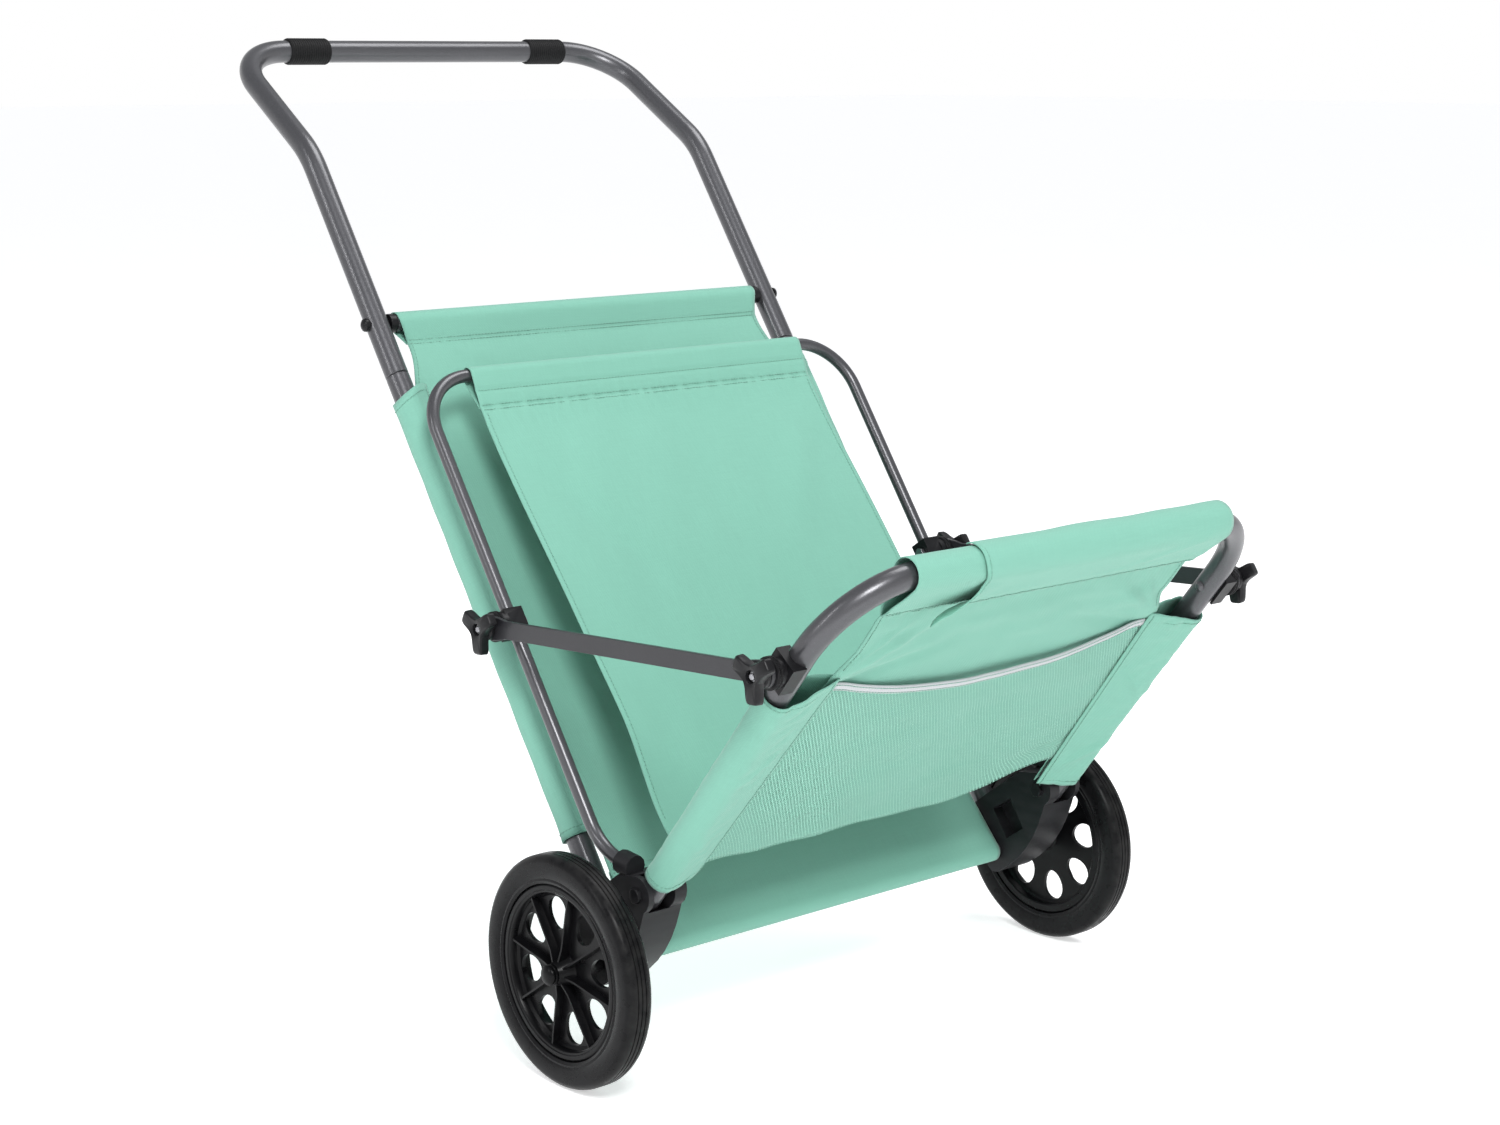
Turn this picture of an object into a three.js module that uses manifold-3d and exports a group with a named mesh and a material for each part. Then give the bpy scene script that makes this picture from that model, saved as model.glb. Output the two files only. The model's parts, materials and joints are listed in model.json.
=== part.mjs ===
// Two-wheeled pull cart: a bent-tube frame with a pull handle, an inner hoop, and a hinged front frame that
// a fabric sling turns into a V-shaped load space. Millimetres; X to the right, Y to the back, Z up.
// The main frame is drawn upright, with the axle's middle as its origin, and then leans back as it is pulled.
import * as THREE from 'three';
import { mergeVertices } from 'three/addons/utils/BufferGeometryUtils.js';
import Module from 'manifold-3d';

const wasm = await Module();
wasm.setup();

// ---------------------------------------------------------------- driving dimensions
const LEAN = THREE.MathUtils.degToRad(34.8); // lean of the main tubes while the cart is pulled
const GAP = 0.3; // between pieces that touch
const TUBE_SIDES = 14;
const THIN_SIDES = 10;

const TUBE_SPACING = 480; // between the centres of the two main tubes
const TUBE_RADIUS = 11;
const SIDE_TUBE_TOP = 577; // above the axle
const SIDE_TUBE_FOOT = 14; // below the axle
const SPIGOT_LENGTH = 42; // of the handle, inside each side tube
const SPIGOT_WALL = 1.3;

const HANDLE_BEND_HEIGHT = 822; // where the handle bends back
const HANDLE_BEND_ANGLE = THREE.MathUtils.degToRad(22.9);
const HANDLE_REACH = 177; // from that bend to the grip
const HANDLE_TAPER = 5; // each leg closes in by this much towards the grip
const HANDLE_BEND_RADIUS = 100;
const HANDLE_CORNER_RADIUS = 64;
const BAND_LENGTH = 46; // of each ribbed band, which ends where the grip starts to bend
const BAND_WALL = 1.7;

const CROSSBAR_RADIUS = 8;
const UPPER_CROSSBAR_HEIGHT = 633;
const UPPER_CROSSBAR_LENGTH = TUBE_SPACING - 38;
const BOLT_RADIUS = 3;
const AXLE_RADIUS = 5;

const HOOP_SPACING = TUBE_SPACING + 36.6; // between the two legs of the inner hoop
const HOOP_RADIUS = 6;
const HOOP_FORWARD = 50; // in front of the main tubes
const HOOP_TOP = 546;
const HOOP_CORNER_RADIUS = 54;
const HOOP_FOOT_HEIGHT = 110; // where each leg starts to bend forward
const HOOP_FOOT_RADIUS = 60;
const HOOP_FOOT_ANGLE = THREE.MathUtils.degToRad(50);
const HOOP_FOOT_LENGTH = 10; // straight end of each leg, in its socket

const PIVOT = { y: -86, z: 28.6 }; // of the front frame
const FRONT_ANGLE = THREE.MathUtils.degToRad(73.1); // of the front frame from the main tubes
const FRONT_SPACING = TUBE_SPACING + 21.6;
const FRONT_LENGTH = 380.7; // from the pivot to the top bar
const FRONT_CORNER_RADIUS = 80;
const FRONT_TUBE_TAIL = 12; // behind the pivot
const FRONT_CLAMP = 286.7; // from the pivot to the stay's bolt
const PIVOT_BOLT_RADIUS = 4;

const REAR_CLAMP_HEIGHT = 300; // of the sliding collars, above the axle
const STAY_PLANE = TUBE_SPACING / 2 + 42; // from the middle of the cart to the middle of each stay
const STAY_THICKNESS = 4;
const STAY_WIDTH = 16;
const STAY_HEAD_RADIUS = 11;
const DISC_RADIUS = 13.5;
const DISC_THICKNESS = 3;
const KNOB_REACH = 23;
const KNOB_LOBE_RADIUS = 4.5;
const KNOB_THICKNESS = 9;
const KNOB_NECK_RADIUS = 11;
const KNOB_NECK_LENGTH = 5;

const SLEEVE_CLEARANCE = 0.8; // between a tube and the sleeve round it
const CLOTH = 1.5;
const BACK_SLEEVE_FOOT = 111; // ends of the sleeves round the side tubes, above the axle
const BACK_SLEEVE_TOP = 560;
const BACK_LOWER_WIDTH = TUBE_SPACING - 36;
const FRONT_SLEEVE_FOOT = 17; // ends of the sleeves round the front tubes, from the pivot
const FRONT_SLEEVE_TOP = 258;
const TOP_SLEEVE_OVERHANG = 16; // of the front's top sleeve past the start of each bend
const POCKET_TOP = 249;
const POCKET_FOOT = 22;
const POCKET_TOP_WIDTH = TUBE_SPACING - 108;
const POCKET_FOOT_WIDTH = TUBE_SPACING - 70;
const TAPE_WIDTH = 8;

const BRACKET_INNER = TUBE_SPACING / 2 - 13.7; // from the middle of the cart
const BRACKET_OUTER = TUBE_SPACING / 2 + 28;

const WHEEL_RADIUS = 102;
const WHEEL_PLANE = TUBE_SPACING / 2 + 61; // from the middle of the cart to the middle of each wheel
const TYRE_WIDTH = 27;
const RIM_RADIUS = WHEEL_RADIUS - 25;
const RIM_WALL = 9;
const RIM_WIDTH = 22;
const WEB_THICKNESS = 4;
const HUB_RADIUS = 12;
const HUB_LENGTH = 31;
const HUB_CAP_RADIUS = 9;
const HUB_CAP_LENGTH = 9;
const SPOKE_COUNT = 8;
const SPOKE_THICKNESS = 2.4;
const HOLE_CIRCLE = 50;
const HOLE_WIDTH = 24;
const HOLE_LENGTH = 29;

// ---------------------------------------------------------------- derived places
const tubeX = TUBE_SPACING / 2;
const hoopX = HOOP_SPACING / 2;
const frontX = FRONT_SPACING / 2;
const slingHalf = hoopX - HOOP_CORNER_RADIUS; // cloth on a hoop's top ends where its bends begin
const frontTopHalf = frontX - FRONT_CORNER_RADIUS + TOP_SLEEVE_OVERHANG;
const bendDrop = FRONT_CORNER_RADIUS - Math.sqrt(FRONT_CORNER_RADIUS ** 2 - TOP_SLEEVE_OVERHANG ** 2);
const sleeveInner = TUBE_RADIUS + SLEEVE_CLEARANCE;
const sleeveOuter = sleeveInner + CLOTH;
const crossbarSleeve = CROSSBAR_RADIUS + SLEEVE_CLEARANCE; // inner radius of the sleeves round the crossbars
const topSleeve = (TUBE_RADIUS + bendDrop + SLEEVE_CLEARANCE) / Math.cos(Math.PI / TUBE_SIDES);
const stayInner = STAY_PLANE - STAY_THICKNESS / 2;
const stayOuter = STAY_PLANE + STAY_THICKNESS / 2;
const stayDiscInner = stayInner - GAP - DISC_THICKNESS;
const clampDiscInner = stayDiscInner - GAP - DISC_THICKNESS;
const clampFace = clampDiscInner - GAP;
const knobInner = stayOuter + GAP;
const boltBore = clearing(BOLT_RADIUS, 8);
const axleBore = clearing(AXLE_RADIUS, 12);
const pivotBore = clearing(PIVOT_BOLT_RADIUS, 10);

// ---------------------------------------------------------------- finishes
const tubeFinish = new THREE.MeshStandardMaterial({ color: 0x55555a, roughness: 0.38, metalness: 0.7 });
const stayFinish = new THREE.MeshStandardMaterial({ color: 0x48484c, roughness: 0.5, metalness: 0.4 });
const plasticFinish = new THREE.MeshStandardMaterial({ color: 0x1b1b1d, roughness: 0.55, metalness: 0 });
const tyreFinish = new THREE.MeshStandardMaterial({ color: 0x141414, roughness: 0.75, metalness: 0 });
const steelFinish = new THREE.MeshStandardMaterial({ color: 0x8c8c90, roughness: 0.35, metalness: 0.9 });
const clothFinish = new THREE.MeshStandardMaterial({ color: 0x8fd0b8, roughness: 0.9, metalness: 0 });
const meshFinish = new THREE.MeshStandardMaterial({ color: 0x9adbc3, roughness: 0.9, metalness: 0 });
const tapeFinish = new THREE.MeshStandardMaterial({ color: 0xd8dad8, roughness: 0.8, metalness: 0 });

// ---------------------------------------------------------------- solids
/** A geometry with its shared corners merged, as a solid that can be joined and cut. */
function solid(geometry) {
  const bare = geometry.clone();
  bare.deleteAttribute('normal');
  bare.deleteAttribute('uv');
  const merged = mergeVertices(bare, 1e-4);
  const vertProperties = new Float32Array(merged.attributes.position.array);
  const triVerts = new Uint32Array(merged.index.array);
  return new wasm.Manifold(new wasm.Mesh({ numProp: 3, vertProperties, triVerts }));
}

/** The geometry of a joined or cut solid. */
function geometryOf(body) {
  const mesh = body.getMesh();
  const geometry = new THREE.BufferGeometry();
  geometry.setAttribute('position', new THREE.BufferAttribute(new Float32Array(mesh.vertProperties), 3));
  geometry.setIndex(new THREE.BufferAttribute(new Uint32Array(mesh.triVerts), 1));
  geometry.computeVertexNormals();
  return geometry;
}

function join(...geometries) {
  return geometryOf(geometries.map(solid).reduce((sum, next) => sum.add(next)));
}

function cut(geometry, ...tools) {
  return geometryOf(tools.map(solid).reduce((rest, tool) => rest.subtract(tool), solid(geometry)));
}

/** A path of straight runs and round bends, with its steps only where it bends. */
class BentPath extends THREE.Curve {
  constructor(corners, radii, turnPerStep = THREE.MathUtils.degToRad(13)) {
    super();
    this.stations = [];
    const last = corners.length - 1;
    const direction = (i) => corners[i + 1].clone().sub(corners[i]).normalize();
    this.stations.push({ point: corners[0], tangent: direction(0) });
    for (let i = 1; i < last; i += 1) {
      const before = direction(i - 1);
      const after = direction(i);
      const turn = before.angleTo(after);
      const axis = before.clone().cross(after).normalize();
      const start = corners[i].clone().addScaledVector(before, -radii[i - 1] * Math.tan(turn / 2));
      const inward = axis.clone().cross(before);
      const centre = start.clone().addScaledVector(inward, radii[i - 1]);
      const steps = Math.ceil(turn / turnPerStep);
      for (let k = 0; k <= steps; k += 1) {
        const spoke = inward.clone().negate().applyAxisAngle(axis, (turn * k) / steps);
        const tangent = before.clone().applyAxisAngle(axis, (turn * k) / steps);
        this.stations.push({ point: centre.clone().addScaledVector(spoke, radii[i - 1]), tangent });
      }
    }
    this.stations.push({ point: corners[last], tangent: direction(last - 1) });
  }

  get steps() {
    return this.stations.length - 1;
  }

  getPoint(t, target = new THREE.Vector3()) {
    const low = Math.min(Math.floor(t * this.steps + 1e-9), this.steps - 1);
    const share = t * this.steps - low;
    return target.lerpVectors(this.stations[low].point, this.stations[low + 1].point, share);
  }

  getPointAt(u, target) {
    return this.getPoint(u, target);
  }

  getTangentAt(u, target = new THREE.Vector3()) {
    return target.copy(this.stations[Math.round(u * this.steps)].tangent);
  }
}

function roundShape(radius, sides) {
  const points = [];
  for (let i = 0; i < sides; i += 1) {
    const angle = (2 * Math.PI * (i + 0.5)) / sides;
    points.push(new THREE.Vector2(radius * Math.cos(angle), radius * Math.sin(angle)));
  }
  return new THREE.Shape(points);
}

function bentTube(corners, radii, radius, sides) {
  const path = new BentPath(corners, radii);
  const options = { steps: path.steps, extrudePath: path, bevelEnabled: false };
  return new THREE.ExtrudeGeometry(roundShape(radius, sides), options);
}

/** The radius of a bore of that many flats that clears a round of the given radius. */
function clearing(radius, sides) {
  return (radius + GAP) / Math.cos(Math.PI / sides);
}

/** A round rod from one point to another. */
function rod(from, to, radius, sides = TUBE_SIDES) {
  const length = from.distanceTo(to);
  const geometry = new THREE.CylinderGeometry(radius, radius, length, sides);
  const along = to.clone().sub(from).normalize();
  geometry.applyQuaternion(new THREE.Quaternion().setFromUnitVectors(new THREE.Vector3(0, 1, 0), along));
  const middle = from.clone().add(to).multiplyScalar(0.5);
  return geometry.translate(middle.x, middle.y, middle.z);
}

/** A round rod along X. */
function rodX(x0, x1, radius, y = 0, z = 0, sides = TUBE_SIDES) {
  return rod(new THREE.Vector3(x0, y, z), new THREE.Vector3(x1, y, z), radius, sides);
}

function box(x0, x1, y0, y1, z0, z1) {
  const geometry = new THREE.BoxGeometry(x1 - x0, y1 - y0, z1 - z0);
  return geometry.translate((x0 + x1) / 2, (y0 + y1) / 2, (z0 + z1) / 2);
}

/** A profile of [radius, x] points turned about the X axis. */
function turnedX(profile, segments) {
  const points = profile.map(([radius, x]) => new THREE.Vector2(radius, x));
  return new THREE.LatheGeometry(points, segments).rotateZ(-Math.PI / 2);
}

/** A ring round the X axis. */
function ringX(x0, x1, inner, outer, segments) {
  return turnedX([[inner, x0], [outer, x0], [outer, x1], [inner, x1], [inner, x0]], segments);
}

/** An outline in the Y-Z plane, thick along X. */
function plateX(shape, x0, x1, curveSegments = 6) {
  const options = { depth: x1 - x0, bevelEnabled: false, curveSegments };
  const geometry = new THREE.ExtrudeGeometry(shape, options);
  const turn = new THREE.Matrix4().makeBasis(
    new THREE.Vector3(0, 1, 0),
    new THREE.Vector3(0, 0, 1),
    new THREE.Vector3(1, 0, 0),
  );
  return geometry.applyMatrix4(turn).translate(x0, 0, 0);
}

/** An outline in the X-Z plane, thick along Y. */
function plateY(shape, y0, y1, curveSegments = 6) {
  const options = { depth: y1 - y0, bevelEnabled: false, curveSegments };
  return new THREE.ExtrudeGeometry(shape, options).rotateX(Math.PI / 2).translate(0, y1, 0);
}

/** The same geometry on the other side of the cart. */
function mirrored(geometry) {
  const twin = geometry.index ? geometry.toNonIndexed() : geometry.clone();
  twin.scale(-1, 1, 1);
  const position = twin.attributes.position;
  const corner = new THREE.Vector3();
  const other = new THREE.Vector3();
  for (let i = 0; i < position.count; i += 3) {
    corner.fromBufferAttribute(position, i + 1);
    other.fromBufferAttribute(position, i + 2);
    position.setXYZ(i + 1, other.x, other.y, other.z);
    position.setXYZ(i + 2, corner.x, corner.y, corner.z);
  }
  twin.deleteAttribute('uv');
  twin.computeVertexNormals();
  return twin;
}

function add(group, name, geometry, finish) {
  const mesh = new THREE.Mesh(geometry, finish);
  mesh.name = name;
  group.add(mesh);
}

/** One piece on each side of the cart, drawn on the right. */
function addPair(group, name, geometry, finish) {
  add(group, `${name}_right`, geometry, finish);
  add(group, `${name}_left`, mirrored(geometry), finish);
}

// ---------------------------------------------------------------- main frame
function handlePath() {
  const gripX = tubeX - HANDLE_TAPER;
  const gripY = HANDLE_REACH * Math.sin(HANDLE_BEND_ANGLE);
  const gripZ = HANDLE_BEND_HEIGHT + HANDLE_REACH * Math.cos(HANDLE_BEND_ANGLE);
  const foot = SIDE_TUBE_TOP + GAP;
  return [
    new THREE.Vector3(-tubeX, 0, foot),
    new THREE.Vector3(-tubeX, 0, HANDLE_BEND_HEIGHT),
    new THREE.Vector3(-gripX, gripY, gripZ),
    new THREE.Vector3(gripX, gripY, gripZ),
    new THREE.Vector3(tubeX, 0, HANDLE_BEND_HEIGHT),
    new THREE.Vector3(tubeX, 0, foot),
  ];
}

function handleTube() {
  const radii = [HANDLE_BEND_RADIUS, HANDLE_CORNER_RADIUS, HANDLE_CORNER_RADIUS, HANDLE_BEND_RADIUS];
  const hoop = bentTube(handlePath(), radii, TUBE_RADIUS, TUBE_SIDES);
  const spigots = [-tubeX, tubeX].map((x) => {
    const top = new THREE.Vector3(x, 0, SIDE_TUBE_TOP + 8);
    const foot = new THREE.Vector3(x, 0, SIDE_TUBE_TOP - SPIGOT_LENGTH);
    return rod(foot, top, TUBE_RADIUS - SPIGOT_WALL - GAP);
  });
  const boltHoles = [-tubeX, tubeX].map((x) => (
    rodX(x - 2 * TUBE_RADIUS, x + 2 * TUBE_RADIUS, boltBore, 0, UPPER_CROSSBAR_HEIGHT, 8)
  ));
  return cut(join(hoop, ...spigots), ...boltHoles);
}

function sideTube() {
  const top = new THREE.Vector3(tubeX, 0, SIDE_TUBE_TOP);
  const foot = new THREE.Vector3(tubeX, 0, -SIDE_TUBE_FOOT);
  const bore = rod(
    new THREE.Vector3(tubeX, 0, SIDE_TUBE_TOP - SPIGOT_LENGTH - 4),
    new THREE.Vector3(tubeX, 0, SIDE_TUBE_TOP + 1),
    TUBE_RADIUS - SPIGOT_WALL,
  );
  const axleHole = rodX(tubeX - 2 * TUBE_RADIUS, tubeX + 2 * TUBE_RADIUS, axleBore, 0, 0, 12);
  return cut(rod(foot, top, TUBE_RADIUS), bore, axleHole);
}

function gripBand() {
  const [, , , corner] = handlePath();
  const end = corner.x - HANDLE_CORNER_RADIUS;
  const inner = clearing(TUBE_RADIUS, TUBE_SIDES);
  const band = ringX(end - BAND_LENGTH, end, inner, inner + BAND_WALL, TUBE_SIDES);
  return band.translate(0, corner.y, corner.z);
}

function addCrossbars(group) {
  const z = UPPER_CROSSBAR_HEIGHT;
  const end = UPPER_CROSSBAR_LENGTH / 2;
  const boltTip = end - 8;
  const boltBores = [-1, 1].map((side) => (
    rodX(side * (boltTip - 1), side * (end + 1), boltBore, 0, z, 8)
  ));
  add(group, 'upper_crossbar', cut(rodX(-end, end, CROSSBAR_RADIUS, 0, z), ...boltBores), tubeFinish);

  const plugEnd = tubeX - TUBE_RADIUS - GAP;
  const plug = ringX(end + GAP, plugEnd, boltBore, CROSSBAR_RADIUS + 1, 12).translate(0, 0, z);
  addPair(group, 'crossbar_plug', plug, plasticFinish);

  const headStart = tubeX + TUBE_RADIUS + GAP;
  const head = turnedX([[0, headStart], [6.5, headStart], [6, headStart + 3], [3, headStart + 5], [0, headStart + 5.4]], 12);
  const shank = rodX(boltTip, headStart + 1, BOLT_RADIUS, 0, 0, 8);
  addPair(group, 'crossbar_bolt', join(head, shank).translate(0, 0, z), plasticFinish);

  const lowerEnd = BRACKET_INNER - GAP;
  add(group, 'lower_crossbar', ringX(-lowerEnd, lowerEnd, axleBore, CROSSBAR_RADIUS, 12), tubeFinish);
  const axleEnd = WHEEL_PLANE + HUB_LENGTH / 2 - 3;
  add(group, 'axle_rod', rodX(-axleEnd, axleEnd, AXLE_RADIUS, 0, 0, 12), steelFinish);
}

/** The inner hoop's line, with the end of each leg longer by extra. */
function hoopPath(extra = 0) {
  const turn = HOOP_FOOT_RADIUS * Math.tan(HOOP_FOOT_ANGLE / 2);
  const along = turn + HOOP_FOOT_LENGTH + extra;
  const cornerZ = HOOP_FOOT_HEIGHT - turn;
  const footY = -HOOP_FORWARD - along * Math.sin(HOOP_FOOT_ANGLE);
  const footZ = cornerZ - along * Math.cos(HOOP_FOOT_ANGLE);
  return [
    new THREE.Vector3(-hoopX, footY, footZ),
    new THREE.Vector3(-hoopX, -HOOP_FORWARD, cornerZ),
    new THREE.Vector3(-hoopX, -HOOP_FORWARD, HOOP_TOP),
    new THREE.Vector3(hoopX, -HOOP_FORWARD, HOOP_TOP),
    new THREE.Vector3(hoopX, -HOOP_FORWARD, cornerZ),
    new THREE.Vector3(hoopX, footY, footZ),
  ];
}

function innerHoop(radius, extra = 0) {
  const radii = [HOOP_FOOT_RADIUS, HOOP_CORNER_RADIUS, HOOP_CORNER_RADIUS, HOOP_FOOT_RADIUS];
  return bentTube(hoopPath(extra), radii, radius, THIN_SIDES);
}

/** The moulded bracket that holds the side tube, the hoop's foot, the axle and the front frame's pivot. */
function sideBracket() {
  const outline = new THREE.Shape();
  outline.moveTo(17, 50);
  outline.lineTo(19, -8);
  outline.quadraticCurveTo(19, -20, 6, -20);
  outline.quadraticCurveTo(-42, -22, PIVOT.y + 6, PIVOT.z - 20);
  outline.lineTo(PIVOT.y - 12, PIVOT.z - 6);
  outline.lineTo(PIVOT.y - 8, PIVOT.z + 14);
  outline.lineTo(PIVOT.y + 14, PIVOT.z + 25);
  outline.lineTo(-16, 52);
  const cheek = rodX(BRACKET_INNER, BRACKET_OUTER, 16, PIVOT.y, PIVOT.z, 20);
  const path = hoopPath();
  const foot = path[5];
  const bend = path[4];
  const up = bend.clone().sub(foot).normalize();
  const socketTop = foot.clone().addScaledVector(up, HOOP_FOOT_LENGTH);
  const socketFoot = foot.clone().addScaledVector(up, -8);
  const socket = rod(socketFoot, socketTop, hoopX < BRACKET_OUTER ? BRACKET_OUTER - hoopX + 1 : 10, 12);
  const tubeSocket = rod(
    new THREE.Vector3(tubeX, 0, -SIDE_TUBE_FOOT - GAP),
    new THREE.Vector3(tubeX, 0, 80),
    clearing(TUBE_RADIUS, TUBE_SIDES),
  );
  const slotHalf = TUBE_RADIUS + GAP;
  const tailReach = Math.hypot(FRONT_TUBE_TAIL, TUBE_RADIUS) + 2 * GAP;
  const slot = rodX(frontX - slotHalf, frontX + slotHalf, tailReach, PIVOT.y, PIVOT.z, 20);
  const mouth = box(frontX - slotHalf, frontX + slotHalf, PIVOT.y - 40, PIVOT.y, PIVOT.z - 20, PIVOT.z + 24);
  const axleHole = rodX(BRACKET_INNER - 5, BRACKET_OUTER + 5, axleBore, 0, 0, 12);
  const pivotHole = rodX(BRACKET_INNER - 5, BRACKET_OUTER + 5, pivotBore, PIVOT.y, PIVOT.z, 10);
  const pocket = box(BRACKET_INNER - 5, BRACKET_INNER + 12, -46, -20, 4, 36);
  const body = join(plateX(outline, BRACKET_INNER, BRACKET_OUTER), cheek, socket);
  return cut(body, tubeSocket, slot, mouth, innerHoop(HOOP_RADIUS + GAP, GAP), axleHole, pivotHole, pocket);
}

function pivotBolt() {
  const head = turnedX([[0, BRACKET_OUTER + GAP], [7, BRACKET_OUTER + GAP], [6.5, BRACKET_OUTER + 4], [0, BRACKET_OUTER + 5]], 12);
  const shank = rodX(BRACKET_INNER - 3, BRACKET_OUTER + 1, PIVOT_BOLT_RADIUS, 0, 0, 10);
  const nut = rodX(BRACKET_INNER - GAP - 4, BRACKET_INNER - GAP, 7, 0, 0, 6);
  return join(head, shank, nut).translate(0, PIVOT.y, PIVOT.z);
}

// ---------------------------------------------------------------- fabric
/** A sleeve round a tube of radius TUBE_RADIUS that runs along Z. */
function sleeveZ(x, z0, z1) {
  const ring = roundShape(sleeveOuter, TUBE_SIDES);
  ring.holes.push(new THREE.Path(roundShape(sleeveInner, TUBE_SIDES).getPoints().reverse()));
  const geometry = new THREE.ExtrudeGeometry(ring, { depth: z1 - z0, bevelEnabled: false });
  return geometry.translate(x, 0, z0);
}

function sleeveX(halfLength, inner, z) {
  return ringX(-halfLength, halfLength, inner, inner + CLOTH, TUBE_SIDES).translate(0, 0, z);
}

/** A sheet in the X-Z plane, symmetric about the cart's middle, given its right-hand edge from the foot up. */
function sheet(edge, y = 0, thickness = CLOTH) {
  const outline = new THREE.Shape();
  outline.moveTo(edge[0][0], edge[0][1]);
  edge.slice(1).forEach(([x, z]) => outline.lineTo(x, z));
  [...edge].reverse().forEach(([x, z]) => outline.lineTo(-x, z));
  return plateY(outline, y - thickness / 2, y + thickness / 2);
}

/** How far out a sheet reaches to end inside the wall of a sleeve round x. */
function sleeveSeam(x) {
  return x - sleeveInner - CLOTH / 2;
}

function backPanel() {
  const seam = sleeveSeam(tubeX);
  const half = BACK_LOWER_WIDTH / 2;
  const neck = UPPER_CROSSBAR_LENGTH / 2;
  const edge = [
    [half, crossbarSleeve + CLOTH / 2],
    [half, BACK_SLEEVE_FOOT],
    [seam, BACK_SLEEVE_FOOT],
    [seam, BACK_SLEEVE_TOP],
    [neck - 8, BACK_SLEEVE_TOP + 22],
    [neck, UPPER_CROSSBAR_HEIGHT - crossbarSleeve - CLOTH / 2],
  ];
  return join(
    sheet(edge),
    sleeveZ(tubeX, BACK_SLEEVE_FOOT, BACK_SLEEVE_TOP),
    sleeveZ(-tubeX, BACK_SLEEVE_FOOT, BACK_SLEEVE_TOP),
    sleeveX(neck, crossbarSleeve, UPPER_CROSSBAR_HEIGHT),
    sleeveX(half, crossbarSleeve, 0),
  );
}

/** The panel that hangs from the inner hoop down to the foot of the V. */
function innerSling() {
  const inner = HOOP_RADIUS + SLEEVE_CLEARANCE;
  const outer = inner + CLOTH;
  const top = HOOP_TOP - inner - CLOTH / 2;
  const run = Math.hypot(-PIVOT.y - HOOP_FORWARD + 4, top - PIVOT.z - 14);
  const lean = Math.atan2(-PIVOT.y - HOOP_FORWARD + 4, top - PIVOT.z - 14);
  const panel = sheet([[slingHalf, -run], [slingHalf, 0]]).rotateX(-lean).translate(0, -HOOP_FORWARD, top);
  const sleeve = ringX(-slingHalf, slingHalf, inner, outer, THIN_SIDES).translate(0, -HOOP_FORWARD, HOOP_TOP);
  return join(panel, sleeve);
}

function frontPanel() {
  const seam = sleeveSeam(frontX);
  const edge = [
    [seam, FRONT_SLEEVE_FOOT],
    [seam, FRONT_SLEEVE_TOP],
    [frontTopHalf - 2, FRONT_SLEEVE_TOP + 12],
    [frontTopHalf - 6, FRONT_LENGTH - 60],
    [frontTopHalf, FRONT_LENGTH - topSleeve - CLOTH / 2],
  ];
  return join(
    sheet(edge),
    sleeveZ(frontX, FRONT_SLEEVE_FOOT, FRONT_SLEEVE_TOP),
    sleeveZ(-frontX, FRONT_SLEEVE_FOOT, FRONT_SLEEVE_TOP),
    sleeveX(frontTopHalf, topSleeve, FRONT_LENGTH),
  );
}

// ---------------------------------------------------------------- front frame and stays
function frontTube() {
  const corners = [
    new THREE.Vector3(-frontX, 0, -FRONT_TUBE_TAIL),
    new THREE.Vector3(-frontX, 0, FRONT_LENGTH),
    new THREE.Vector3(frontX, 0, FRONT_LENGTH),
    new THREE.Vector3(frontX, 0, -FRONT_TUBE_TAIL),
  ];
  const hoop = bentTube(corners, [FRONT_CORNER_RADIUS, FRONT_CORNER_RADIUS], TUBE_RADIUS, TUBE_SIDES);
  const holes = [-frontX, frontX].flatMap((x) => [
    rodX(x - 2 * TUBE_RADIUS, x + 2 * TUBE_RADIUS, pivotBore, 0, 0, 10),
    rodX(x - 2 * TUBE_RADIUS, x + 2 * TUBE_RADIUS, boltBore, 0, FRONT_CLAMP, 8),
  ]);
  return cut(hoop, ...holes);
}

/** One ring of a clamp's stack. */
function clampDisc(x0) {
  return ringX(x0, x0 + DISC_THICKNESS, boltBore, DISC_RADIUS, 20);
}

/** The saddle between a front tube and its discs, hollowed to sit on the tube. */
function frontSaddle() {
  const block = box(frontX + 4, clampFace - 4, -13, 13, -14, 14);
  const neck = rodX(clampFace - 5, clampFace, 12, 0, 0, 16);
  const tube = rod(
    new THREE.Vector3(frontX, 0, -30),
    new THREE.Vector3(frontX, 0, 30),
    clearing(TUBE_RADIUS, TUBE_SIDES),
    TUBE_SIDES,
  );
  const bore = rodX(frontX, clampFace + 1, boltBore, 0, 0, 8);
  return cut(join(block, neck), tube, bore);
}

/** The bolt through a front tube, from its round head inside the frame to its end in the knob. */
function frontBolt() {
  const headEnd = frontX - TUBE_RADIUS - GAP;
  const head = turnedX([[0, headEnd - 3], [2.5, headEnd - 2.6], [5, headEnd], [0, headEnd]], 12);
  const shank = rodX(headEnd - 1, knobInner + KNOB_NECK_LENGTH + 3, BOLT_RADIUS, 0, 0, 8);
  return join(head, shank);
}

/** The collar that slides on a leg of the inner hoop. */
function slidingCollar() {
  const block = box(hoopX - 9, clampFace - 4, -10, 10, -12, 12);
  const neck = rodX(clampFace - 6, clampFace, 12, 0, 0, 16);
  const bore = rod(
    new THREE.Vector3(hoopX, 0, -20),
    new THREE.Vector3(hoopX, 0, 20),
    clearing(HOOP_RADIUS, THIN_SIDES),
    THIN_SIDES,
  );
  return cut(join(block, neck), bore);
}

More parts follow.
